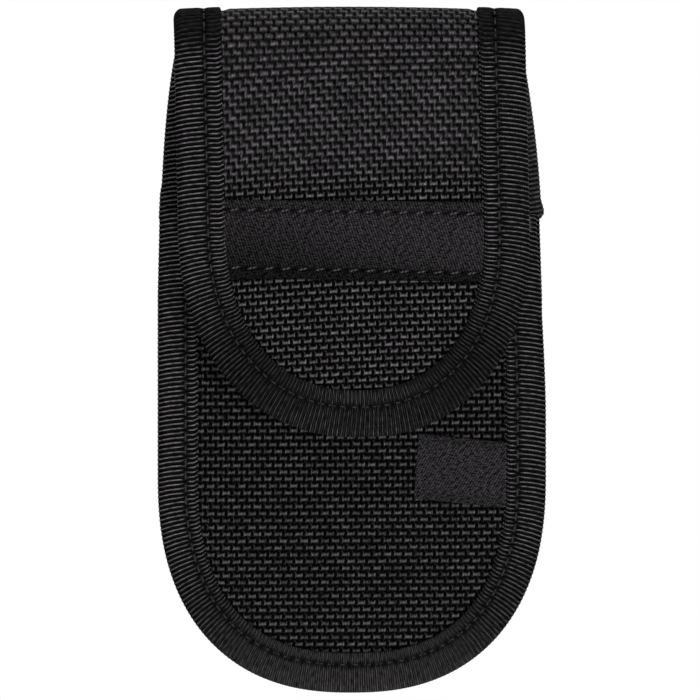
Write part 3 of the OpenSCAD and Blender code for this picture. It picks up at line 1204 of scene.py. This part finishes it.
        # Painted shade along the stitch groove, darkest at the holes
        hole = near**2 * sewn**self.hole_power
        seen = seen * (1.0 - self.groove_dark * near) * (1.0 - self.hole_dark * hole)
        lift = np.clip(seen * shown, 0.0, 1.0)
        return Surface.laid(face, across, run, raised, lift, pairs(along, inset))

    @property
    def flat_width(self) -> float:
        """Measures the tape before it is folded.

        Returns:
            The length of its section's outer side.
        """
        inset, height, out_in, out_up = self.section()
        steps = np.hypot(np.diff(inset), np.diff(height))
        shown = np.hypot(out_in, out_up)
        return float(np.sum(steps * np.maximum(shown[:-1], shown[1:])))

    def lay(
        self, name: str, face: Face, path: EdgePath, place: Seat, *nodes: str,
        calm: float = -10.0, turned_under: bool = False,
    ) -> None:
        """Makes the tape and a row of stitches on each of its sides.

        Args:
            name: First part of both pieces' names.
            face: Face that carries the tape.
            path: Edge that it folds over.
            place: Body that carries it, or fold that it lies across.
            nodes: Solids that it stands for.
            calm: Run down to which the ribs' painted light is quiet.
            turned_under: Whether the last end is plain and rounded off.
        """
        tape = self.sweep(face, path, calm, turned_under).build(f"{name}_tape", TAPE, place, *nodes)
        declare(tape, "folded", self.flat_width, path.length)
        front = self.proud - self.groove + self.thread_up
        heights = ((front, 1.0), (-self.stack - front, -1.0))
        rows = [self.stitch.row(face, path, self.stitch_in, height, side) for height, side in heights]
        Surface.joined(rows).build(f"{name}_stitches", THREAD, place)


@dataclass(frozen=True)
class Label:
    """A bare woven label: a thin strip with twill ridges, sewn on along lines across it."""

    corners: tuple[Flat, ...]
    thickness: float = 0.42
    rim_up: float = 0.1
    rim_run: float = 0.3
    # Painted shade: share of light left on the rounded rim and on the bands outside the sewn lines
    rim_light: float = 0.25
    border: Flat = (0.11, 0.05)
    border_light: float = 0.8
    twill: float = 0.5
    twill_slope: float = 3.2
    ridge: float = 0.05
    step: float = 0.14
    margins: tuple[Flat, ...] = ((0.125, 0.15), (0.853, 0.897))
    sewn_from: float = 0.02
    stitch: Stitch = Stitch(3.05, cover=0.68, tilt=-0.45, twist=3.0)
    groove: float = 0.12
    groove_half: float = 0.45
    groove_least: float = 0.5
    # Painted shade in the sewn grooves, and painted shade that deepens down the label, later at the right
    groove_dark: float = 0.95
    fade: float = 0.0
    fade_late: float = 6.0

    @property
    def size(self) -> Flat:
        """Flat width and height of the label."""
        (left, _), (right, top), (_, low), _ = self.corners
        return right - left, low - top

    def at(self, share: Array, down: Array) -> list[Array]:
        """Finds places between the four corners.

        Args:
            share: Share of the way to the right.
            down: Share of the way down.

        Returns:
            Distance across and run of each place.
        """
        left_top, right_top, right_low, left_low = self.corners
        return [
            (1 - down) * ((1 - share) * left_top[i] + share * right_top[i])
            + down * ((1 - share) * left_low[i] + share * right_low[i])
            for i in range(2)
        ]

    def surface(self, face: Face) -> Surface:
        """Lays the label on a face.

        The upper side carries ridges, a cosine across lines that all lean one way, with a painted
        highlight on their crests, and drops to its edges by a quarter ellipse, with painted shade on
        that rim and on the bands outside the sewn lines. Each sewn line sinks into a groove, deepest
        at the holes, with painted shade darkest there, and painted shade deepens down the label,
        later at the right.

        Args:
            face: Face that carries the label.

        Returns:
            The closed label.
        """
        (left, top), (right, _), (_, low), _ = self.corners
        tall = low - top
        share = np.linspace(0.0, 1.0, int((right - left) / self.step))[:, None]
        loop, upper = there_and_back(np.linspace(0.0, 1.0, int(tall / self.step)), 1.0, 0.0)
        across, run = self.at(share, loop)
        ridge = wave((across - run / self.twill_slope) / self.twill)
        inner = np.minimum(loop, 1.0 - loop)
        edge = arch(1.0 - np.clip(inner * tall / self.rim_run, 0.0, 1.0))
        stitches = (share - self.sewn_from) * (right - left) / self.stitch.pitch
        holes = least(self.groove_least, wave(stitches))
        sewn = np.zeros_like(loop)
        for left_margin, right_margin in self.margins:
            margin = left_margin + (right_margin - left_margin) * share
            sewn = sewn + bell((loop - margin) * tall, self.groove_half) * holes
        over_rim = self.thickness - self.rim_up + self.ridge * ridge
        height = upper * (self.rim_up + over_rim * edge - self.groove * sewn)
        inside = smooth((inner - self.border[0]) / self.border[1])
        # Painted highlight on the twill crests; painted shade on the rim, the outer bands, the grooves
        # and down the label
        lift = ridge * least(self.rim_light, edge) * least(self.border_light, inside)
        lift = lift * (1.0 - self.groove_dark * sewn)
        lift = lift * (1.0 - self.fade * loop ** (1.0 + self.fade_late * share**2))
        return Surface.laid(face, across, run, height, lift)

    def lay(self, name: str, face: Face, place: Seat, node: str) -> None:
        """Makes the label and its stitches, one row to each pair of margins at its left and right.

        Args:
            name: Name of the label, and first part of its stitches' name.
            face: Face that carries it.
            place: Body that carries it.
            node: Solid that it stands for.
        """
        declare(self.surface(face).build(name, LABEL, place, node), "laid", *self.size)
        ends = (self.sewn_from, 1.0 - self.sewn_from)
        lines = [straight(*(self.at(*end) for end in zip(ends, margin))) for margin in self.margins]
        rows = [self.stitch.row(face, line, 0.0, self.thickness) for line in lines]
        if rows:
            Surface.joined(rows).build(f"{name}_stitches", LABEL_THREAD, place)


@dataclass(frozen=True)
class Pile:
    """One half of the closure: a backing with rounded corners and rows of small bent filaments."""

    half_width: float
    half_height: float
    middle: float
    base: float
    side: float
    hooked: bool
    spacing: float
    backing: float = 0.5
    backing_lift: float = 0.25
    rooted: float = 0.05
    tall: float = 0.78
    thread: float = 0.085
    power: float = 8.0
    corner: float = 0.75
    jitter: float = 0.8
    second_draw: int = 7
    way_grid: int = 9
    size_grid: int = 5
    hook_radius: float = 0.2
    hook_turn: float = 210.0
    stem: float = 0.35
    loop_half: float = 0.5
    loop_least: float = 0.7
    # Painted shade at a filament's foot, lighter up to its top
    foot_lift: float = 0.3
    bends: int = 7
    sides: int = 3
    rim_steps: int = 96
    rings: tuple[Flat, ...] = (
        (0.04, 1.0), (0.35, 1.0), (0.65, 1.0), (0.9, 1.0), (0.985, 1.0),
        (1.0, 0.8), (1.0, 0.1), (0.985, 0.0), (0.65, 0.0), (0.04, 0.0),
    )

    def back(self, face: Face) -> Surface:
        """The backing, as rings of the curve |x/a|^p + |r/b|^p = 1 over its face, rim and underside.

        Args:
            face: Face that carries the patch.

        Returns:
            The closed backing.
        """
        turn = np.linspace(0.0, 2 * np.pi, self.rim_steps, endpoint=False)
        scale, level = np.array(self.rings).T[..., None]
        across = self.half_width * scale * squared_off(np.cos(turn), self.power)
        run = self.middle + self.half_height * scale * squared_off(np.sin(turn), self.power)
        height = self.base + self.side * self.backing * level
        return Surface.laid(face, across, run, height, self.backing_lift)

    def filaments(self, face: Face) -> Surface:
        """The filaments, each a bent tube turned its own way by a draw from its place.

        A loop is half an ellipse with both feet in the backing. A hook is a straight stem and then an
        arc that turns back down.

        Args:
            face: Face that carries the patch.

        Returns:
            All the filaments as one surface.
        """
        columns = int(2 * self.half_width / self.spacing) - 1
        rows = int(2 * self.half_height / self.spacing) - 1
        column, row = (index.ravel() for index in np.meshgrid(np.arange(columns), np.arange(rows)))
        jitter = 0.0 if self.hooked else self.jitter
        aside = jitter * (scatter(column, row) - 0.5)
        ahead = jitter * (scatter(row, column + self.second_draw) - 0.5)
        across = (column - (columns - 1) / 2 + aside) * self.spacing
        down = (row - (rows - 1) / 2 + ahead) * self.spacing
        outer = (across / self.half_width) ** self.power + (down / self.half_height) ** self.power
        across, down = (values[outer < self.corner, None, None] for values in (across, down))
        way = 2 * np.pi * scatter(np.round(across * self.way_grid), np.round(down * self.way_grid))
        share = np.linspace(0.0, 1.0, self.bends)[:, None]
        if self.hooked:
            way = np.where(np.sin(way) > 0.0, np.pi / 2, -np.pi / 2)
            arc = np.radians(self.hook_turn) * np.clip((share - self.stem) / (1.0 - self.stem), 0.0, 1.0)
            reach = self.hook_radius * (1.0 - np.cos(arc))
            stem = (self.tall - self.hook_radius) * np.clip(share / self.stem, 0.0, 1.0)
            rise = stem + self.hook_radius * np.sin(arc)
        else:
            drawn = scatter(np.round(down * self.size_grid), np.round(across * self.size_grid))
            size = least(self.loop_least, drawn)
            reach = self.loop_half * np.cos(np.pi * share)
            rise = self.tall * np.sin(np.pi * share) * size
        turn = np.linspace(0.0, 2 * np.pi, self.sides, endpoint=False)
        x = across + reach * np.cos(way) + self.thread * np.cos(turn)
        run = self.middle + down + reach * np.sin(way) + self.thread * np.sin(turn)
        height = self.base + self.side * (self.backing - self.rooted + rise)
        # Painted shade at the foot of each filament, painted light at its top
        lift = least(self.foot_lift, np.clip(rise / self.tall, 0.0, 1.0))
        return Surface.laid(face, x, run, height, lift)

    def lay(self, name: str, face: Face, finish: Finish, place: Seat, node: str) -> None:
        """Makes the filaments and the backing under them.

        Args:
            name: First part of both pieces' names.
            face: Face that carries the patch.
            finish: Finish of both.
            place: Body that carries them.
            node: Solid that they stand for.
        """
        pile = self.filaments(face).build(f"{name}_filaments", finish, place, node)
        back = self.back(face).build(f"{name}_backing", finish, place, node)
        declare(back, "laid", 2 * self.half_width, 2 * self.half_height, with_pieces=[pile])


@dataclass(frozen=True)
class Webbing:
    """The belt loop: a thick woven strap sewn to the back at both ends."""

    width: float = 38.0
    thickness: float = 2.0
    weave: Weave = Weave(
        1.15, 1.27, weft_half=0.5, warp_round=0.05, weft_round=0.3,
        weft_crimp=0.12, warp_crimp=0.02, floor=-0.1,
    )
    yarn_steps: int = 4
    rim: float = 1.0
    rim_drop: float = 0.9
    rim_smooth: float = 0.7
    stitch: Stitch = Stitch(2.6, 0.2)
    thread_up: float = 0.02
    box_in: Flat = (2.5, 1.4)

    def surface(self) -> Surface:
        """The strap as flat loops along its length, with yarns that run lengthwise on both sides.

        The half thickness falls to the edges by part of an ellipse, and the weave's relief is taken
        off it.

        Returns:
            The closed strap.
        """
        rows = int(STRAP_FACE.length / self.weave.warp_pitch) * self.yarn_steps
        run = np.linspace(0.0, STRAP_FACE.length, rows + 1)[:, None]
        columns = int(self.width / self.weave.weft_pitch) * self.yarn_steps
        side = np.linspace(-self.width / 2, self.width / 2, columns + 1)
        across, upper = there_and_back(side, 1.0, -1.0)
        relief, lift = self.weave.relief(run / self.weave.warp_pitch, across / self.weave.weft_pitch)
        rim = np.clip((np.abs(across) - self.width / 2) / self.rim + 1.0, 0.0, 1.0)
        half = self.thickness / 2 * arch(rim, self.rim_drop)
        height = self.thickness / 2 + upper * (half + relief * (1.0 - self.rim_smooth * rim))
        return Surface.laid(STRAP_FACE, across, run, height, lift, pairs(run, across))

    def lay(self) -> None:
        """Makes the strap, and the stitches of a box with a cross in it at each of its ends."""
        strap = self.surface().build("belt_webbing", WEBBING, Seat.SHEATH, "belt_loop")
        declare(strap, "stretched", self.width, STRAP_FACE.cut_length)
        wide = self.width / 2 - self.box_in[0]
        lines = []
        for first in (0.0, STRAP_FACE.length - STRAP_FACE.tack):
            high, low = first + self.box_in[1], first + STRAP_FACE.tack - self.box_in[1]
            box = [(-wide, high), (wide, high), (wide, low), (-wide, low)]
            lines += list(zip(box, box[1:] + box[:1])) + [(box[0], box[2]), (box[1], box[3])]
        height = self.thickness + self.thread_up
        rows = [self.stitch.row(STRAP_FACE, straight(*line), 0.0, height) for line in lines]
        Surface.joined(rows).build("belt_webbing_stitches", THREAD, Seat.SHEATH)


# The pocket's, the upper flap's and the lower flap's weaves are one cloth in different painted light and
# shade, for how the light falls on each part: the pocket and the upper flap are dimmed, and the upper
# flap's highlight sits low on each weft with hazed gaps between; the yarns' shapes differ a little too
POCKET_WEAVE = Weave(
    0.943, shade=0.75, sag=0.08, lean=0.1, narrow=3.2, turn_up=(0.46, 0.4), turn_down=0.18, hidden_rows=14
)
FLAP_WEAVE = Weave(
    0.975, weft_half=0.5, sag=0.2, turn_up=(0.7, 0.1), turn_shade=0.85, turn_half=0.17,
    narrow=4.0, lean=0.05, warp_shade=0.3, haze=0.25, shade=0.85,
)
LOW_FLAP_WEAVE = Weave(
    0.975, sag=0.1, narrow=4.5, lean=0.05, shade=0.95, turn_up=(0.5, 0.44), turn_down=0.14
)
BACK_WEAVE = replace(FLAP_WEAVE, warp_steps=4, weft_steps=5)
POCKET_TAPE = EdgeTape(SIZES.pocket_tape, SIZES.stack + SIZES.flange, 5.0)
# The flap's and the shoulders' tapes are the same tape in other painted light: the flap's is darker, with
# stronger painted ribs and twin lines where they run up and down, and the shoulders' are lighter and
# evenly lit, the right one with quieter painted ribs
FLAP_TAPE = EdgeTape(
    SIZES.flap_tape, SIZES.stack, 5.35, even=0.6, faint=0.12, twin=0.32, flatter=0.4, skew=0.12
)
LEFT_SHOULDER_TAPE = EdgeTape(SIZES.flap_tape, SIZES.stack, 5.35, quiet=0.8, even=0.8)
RIGHT_SHOULDER_TAPE = replace(LEFT_SHOULDER_TAPE, quiet=0.3, even=0.785)


@dataclass(frozen=True)
class Flap:
    """The flap: cloth over the front fold, lining, stiffener, tape, label and hook patch."""

    under_tape: float = 6.6
    edge_in: float = 1.0
    slant: Flat = (0.048, 0.00078)
    calm_above: float = 4.0
    label: Label = Label(((-24.0, 46.8), (24.0, 47.25), (24.0, 61.7), (-24.0, 61.15)), fade=0.76)
    hooks: Pile = Pile(17.0, 8.75, 67.86, -SIZES.stack - SIZES.seam, -1.0, True, 1.15)

    def build(self) -> None:
        """Makes and seats every piece of the flap."""
        edge, fold = FLAP_OUTLINE, Seat.FRONT_FOLD
        flat = edge.flat(self.edge_in, 0.0)
        runs = (0.0, edge.last - self.under_tape)
        cloth = FLAP_WEAVE.panel(FLAP_FACE, edge, self.under_tape, *runs, self.slant, LOW_FLAP_WEAVE)
        towards = (0.0, -1.0, 0.3)
        cloth = cloth.build("flap_cloth", CLOTH, fold, "flap_panel", "top_panel", towards=towards)
        declare(cloth, "folded", *flat)
        lining = edge.plate(FLAP_INSIDE, self.edge_in, 0.0, *LINING_LAYER)
        lining = lining.build("flap_lining_cloth", LINING, fold, "flap_lining", "top_lining")
        declare(lining, "folded", *flat)
        board = edge.plate(FLAP_INSIDE, self.edge_in, SIZES.fold_run, *BOARD_LAYER)
        board.build("flap_board", BOARD, Seat.FLAP, "flap_stiffener")
        calm = SIZES.fold_run - self.calm_above
        FLAP_TAPE.lay("flap_edge", FLAP_FACE, edge.path(), fold, "flap_binding", "top_binding", calm=calm)
        self.label.lay("flap_label", FLAP_FACE, Seat.FLAP, "name_label")
        self.hooks.lay("hook", FLAP_INSIDE, HOOKS, Seat.FLAP, "hook_patch")


@dataclass(frozen=True)
class Pocket:
    """The pocket's front: cloth, lining, edge tape, mouth tape, gusset, loop patch and side label."""

    under_tape: float = 5.9
    under_mouth: float = 5.0
    slant: Flat = (0.007, 0.0)
    edge_in: float = 1.0
    mouth_half: float = 27.9
    board_in: float = 1.8
    tape_ends: Flat = (-0.5, 0.75)
    gusset_rib: float = 0.14
    gusset_pitch: float = 1.2
    gusset_bulge: float = 0.35
    gusset_steps: int = 17
    rib_steps: int = 4
    flange_in: float = 1.6
    mouth_tape: EdgeTape = replace(POCKET_TAPE, stack=SIZES.stack)
    label: Label = Label(
        ((12.24, 39.9), (28.3, 41.61), (28.3, 53.58), (11.39, 51.89)), twill_slope=-1.8, margins=()
    )
    loops: Pile = Pile(19.0, 9.75, 18.75, SIZES.seam, 1.0, False, 0.78)

    def build(self) -> None:
        """Makes and seats every piece of the pocket."""
        edge, body = POCKET_OUTLINE, Seat.SHEATH
        flat = edge.flat(self.edge_in, self.edge_in)
        runs = (self.under_mouth, edge.last - self.under_tape)
        cloth = POCKET_WEAVE.panel(POCKET_FACE, edge, self.under_tape, *runs, self.slant)
        cloth = cloth.build("pocket_cloth", CLOTH, body, "front_panel", towards=(0.0, -1.0, 0.0))
        declare(cloth, "stretched", *flat)
        lining = edge.plate(POCKET_INSIDE, self.edge_in, self.edge_in, *LINING_LAYER)
        lining = lining.build("pocket_lining_cloth", LINING, body, "front_lining")
        declare(lining, "stretched", *flat)
        board = edge.plate(POCKET_INSIDE, self.board_in, self.board_in, *BOARD_LAYER)
        board.build("pocket_board", BOARD, body, "front_stiffener")
        path = edge.path(SIZES.pinches, self.tape_ends)
        POCKET_TAPE.lay("pocket_edge", POCKET_FACE, path, body, "front_binding", turned_under=True)
        mouth = straight((-self.mouth_half, 0.0), (self.mouth_half, 0.0))
        self.mouth_tape.lay("mouth_edge", POCKET_FACE, mouth, body, "mouth_binding")
        gusset = self.gusset(path).build("gusset_elastic", ELASTIC, body, "gusset")
        flange = SIZES.pocket_tape + SIZES.seam - self.flange_in
        declare(gusset, "stretched", SIZES.depth + 2 * flange, path.length)
        self.loops.lay("loop", POCKET_FACE, LOOPS, body, "loop_patch")
        self.label.lay("pocket_label", POCKET_FACE, body, "side_label")

    def gusset(self, path: EdgePath) -> Surface:
        """The elastic wall between front and back with a flange on each, carried along the pocket's edge.

        Its section is one bent band; its wall has ribs across it, a cosine along the edge.

        Args:
            path: Edge of the pocket.

        Returns:
            The closed band.
        """
        wall = SIZES.pocket_tape + SIZES.seam
        rim = [self.flange_in]
        thick = SIZES.flange - SIZES.seam
        level = np.linspace(0.0, 1.0, self.gusset_steps)
        outer_in = wall - self.gusset_bulge * np.sin(np.pi * level)
        inner_up = SIZES.seam + (SIZES.depth - 2 * SIZES.seam) * level
        outer_up = (SIZES.flange + (SIZES.depth - 2 * SIZES.flange) * level)[::-1]
        inset = np.concatenate([rim, outer_in + thick, rim, rim, outer_in[::-1], rim])
        inward = np.concatenate([np.pad(up, 1, mode="edge") for up in (inner_up, outer_up)])
        inner = np.pad(np.ones_like(level), 1)
        ribbed = np.concatenate([inner, inner])
        facing = np.concatenate([np.where(inner > 0.0, -1.0, 1.0), np.ones_like(inner)])
        steps = int(path.length / self.gusset_pitch) * self.rib_steps
        along = np.linspace(0.0, path.length, steps)[:, None]
        rib = np.cos(2 * np.pi * along / self.gusset_pitch)
        across, run = path.at(along, inset + self.gusset_rib * rib * ribbed)
        # Painted highlight on the ribs' crests and painted shade between them, on both faces of the wall
        lift = 0.5 - 0.5 * rib * facing
        height = -SIZES.stack - inward
        return Surface.laid(POCKET_INSIDE, across, run, height, lift, pairs(along, inward))


@dataclass(frozen=True)
class Back:
    """The back: cloth up to the middle of the top, lining, tapes and the belt loop."""

    under_tape: float = 5.9
    edge_in: float = 1.0
    board_in: float = 1.8
    fold_rows: int = 22
    bow: float = 0.35
    widening: float = 0.8
    flares: Flat = (0.25, 0.45)
    flare_from: Flat = (0.78, 0.87)
    flare_ease: float = 0.08
    bump_end: float = 0.045
    bump_drop: float = 2.0
    shoulder_steps: int = 81
    over_mouth: float = 0.9
    strap: Webbing = Webbing()

    def build(self) -> None:
        """Makes and seats every piece of the back."""
        edge, fold, body = BACK_OUTLINE, Seat.REAR_FOLD, Seat.SHEATH
        split = self.fold_rows * BACK_WEAVE.weft_pitch
        inset = self.under_tape
        wide, _, area = edge.flat(self.edge_in, split)
        upper = BACK_WEAVE.panel(BACK_FACE, edge, inset, 0.0, split)
        upper = upper.build("top_cloth", CLOTH, fold, "top_panel", "back_panel", towards=(0.0, 1.0, 0.5))
        declare(upper, "folded", 2 * SIZES.shoulder_half, split, 2 * SIZES.shoulder_half * split)
        lower = BACK_WEAVE.panel(BACK_FACE, edge, inset, split, edge.last - inset)
        lower = lower.build("back_cloth", CLOTH, body, "back_panel", towards=(0.0, 1.0, 0.0))
        declare(lower, "stretched", wide, edge.last - split, area)
        lining = edge.plate(BACK_FACE, self.edge_in, 0.0, *LINING_LAYER)
        lining = lining.build("back_lining_cloth", LINING, fold, "back_lining", "top_lining")
        declare(lining, "folded", *edge.flat(self.edge_in, 0.0))
        board = edge.plate(BACK_FACE, self.board_in, edge.top_run + self.board_in, *BOARD_LAYER)
        board.build("back_board", BOARD, body, "back_stiffener")
        POCKET_TAPE.lay("back_edge", BACK_FACE, edge.path(SIZES.pinches), body, "back_binding")
        nodes = ("shoulder_binding", "top_binding")
        for name, side, tape in (("left", -1.0, LEFT_SHOULDER_TAPE), ("right", 1.0, RIGHT_SHOULDER_TAPE)):
            path = self.shoulder_path(side)
            tape.lay(f"{name}_shoulder", BACK_FACE, path, fold, *nodes, calm=edge.start)
        self.strap.lay()

    def shoulder_path(self, side: float) -> EdgePath:
        """A side edge down past the mouth, straight and then widening by a power of its share and a bow.

        Both flare before the mouth, and the right one drops again to end in a bump.

        Args:
            side: -1 for the left edge, or 1 for the right one.

        Returns:
            The edge.
        """
        share = np.linspace(0.0, 1.0, self.shoulder_steps)
        last = BACK_OUTLINE.start + self.over_mouth
        run = np.concatenate([[0.0], SIZES.fold_run + (last - SIZES.fold_run) * share])
        right = int(side > 0.0)
        flare = smooth((share - self.flare_from[right]) / self.flare_ease)
        if right:
            dropped = np.clip((share - 1.0) / self.bump_end + 1.0, 0.0, 1.0)
            flare = flare - self.bump_drop * dropped**2
        wider = (SIZES.pocket_half - SIZES.shoulder_half) * share**self.widening
        wider = wider + self.bow * np.sin(np.pi * share) + self.flares[right] * flare
        half = SIZES.shoulder_half + np.concatenate([[0.0], wider])
        return EdgePath(side * half, run, np.full(len(run), -side), np.zeros(len(run)))


@dataclass(frozen=True)
class Lamp:
    """A soft square lamp that faces the sheath."""

    name: str
    place: Point
    size: float
    power: float
    in_gloss: bool = True

    def build(self) -> None:
        """Makes the lamp and turns it to the middle of the part's frame."""
        data = bpy.data.lights.new(self.name, "AREA")
        data.size = self.size
        data.energy = self.power
        lamp = linked(self.name, data)
        lamp.location = self.place
        lamp.rotation_euler = (-lamp.location).to_track_quat("-Z", "Y").to_euler()
        lamp.visible_glossy = self.in_gloss


@dataclass(frozen=True)
class Studio:
    """White surroundings, soft lamps and the camera."""

    distance: float = 1.8
    picture_width: float = 0.12694
    sensor_width: float = 36.0
    clip_end: float = 50.0
    aim: Flat = (-0.00018, -0.00792)
    floor_drop: float = 0.8
    floor_half: float = 4.0
    floor_colour: float = 0.82
    floor_glow: float = 0.8
    floor_roughness: float = 0.9
    ambient: float = 0.12
    lamps: tuple[Lamp, ...] = (
        Lamp("key", (-0.05, -0.8, -0.75), 0.4, 10.5),
        Lamp("left", (-0.7, -0.9, -0.2), 0.5, 1.0),
        Lamp("right", (0.7, -0.9, -0.1), 0.5, 7.4),
        Lamp("top", (0.0, 0.05, 0.8), 0.6, 7.5),
        Lamp("rear", (0.2, 0.9, 0.3), 0.6, 12.0, in_gloss=False),
    )

    def build(self) -> None:
        """Makes the world, the floor, the lamps and the camera."""
        self.world()
        self.floor()
        for lamp in self.lamps:
            lamp.build()
        self.camera()

    def world(self) -> None:
        """A dim even world that the camera and glossy surfaces see as white."""
        world = bpy.data.worlds.new("studio")
        bpy.context.scene.world = world
        nodes = Nodes(world)
        levels = {"Value": nodes.background_share(), "To Min": self.ambient, "To Max": 1.0}
        level = nodes.add("ShaderNodeMapRange", levels)
        nodes.feed(nodes.tree.nodes["Background"], {"Strength": level, "Color": (1.0, 1.0, 1.0, 1.0)})

    def floor(self) -> None:
        """A wide pale floor below the hanging sheath that the camera sees as white outside shadows."""
        side = self.floor_half
        low = CAD_BOX[0].z - self.floor_drop
        points = [(-side, -side, low), (side, -side, low), (side, side, low), (-side, side, low)]
        mesh = bpy.data.meshes.new("floor")
        mesh.from_pydata(points, [], [(0, 1, 2, 3)])
        material = bpy.data.materials.new("pale_floor")
        nodes = Nodes(material)
        nodes.feed(nodes.tree.nodes["Principled BSDF"], {
            "Base Color": (self.floor_colour, self.floor_colour, self.floor_colour, 1.0),
            "Roughness": self.floor_roughness,
            "Emission Color": (self.floor_glow, self.floor_glow, self.floor_glow, 1.0),
            "Emission Strength": nodes.background_share(),
        })
        mesh.materials.append(material)
        linked("floor", mesh)

    def camera(self) -> None:
        """A long lens straight in front, framed as the photograph is."""
        data = bpy.data.cameras.new("camera")
        data.sensor_width = self.sensor_width
        data.lens = data.sensor_width * self.distance / self.picture_width
        data.clip_end = self.clip_end
        camera = linked("camera", data)
        front = (SIZES.front_out - BELT_MIDDLE[1]) * MM
        camera.location = (self.aim[0], front - self.distance, self.aim[1])
        camera.rotation_euler = (math.pi / 2, 0.0, 0.0)
        bpy.context.scene.camera = camera


def main() -> None:
    """Builds the sub-assemblies in order, then the studio."""
    logging.basicConfig(level=logging.INFO, format="%(name)s: %(message)s")
    bpy.context.scene.view_settings.view_transform = "Standard"
    for part in (Back(), Pocket(), Flap()):
        part.build()
        log.info("%s is done", type(part).__name__)
    Studio().build()


if __name__ == "__main__":
    main()
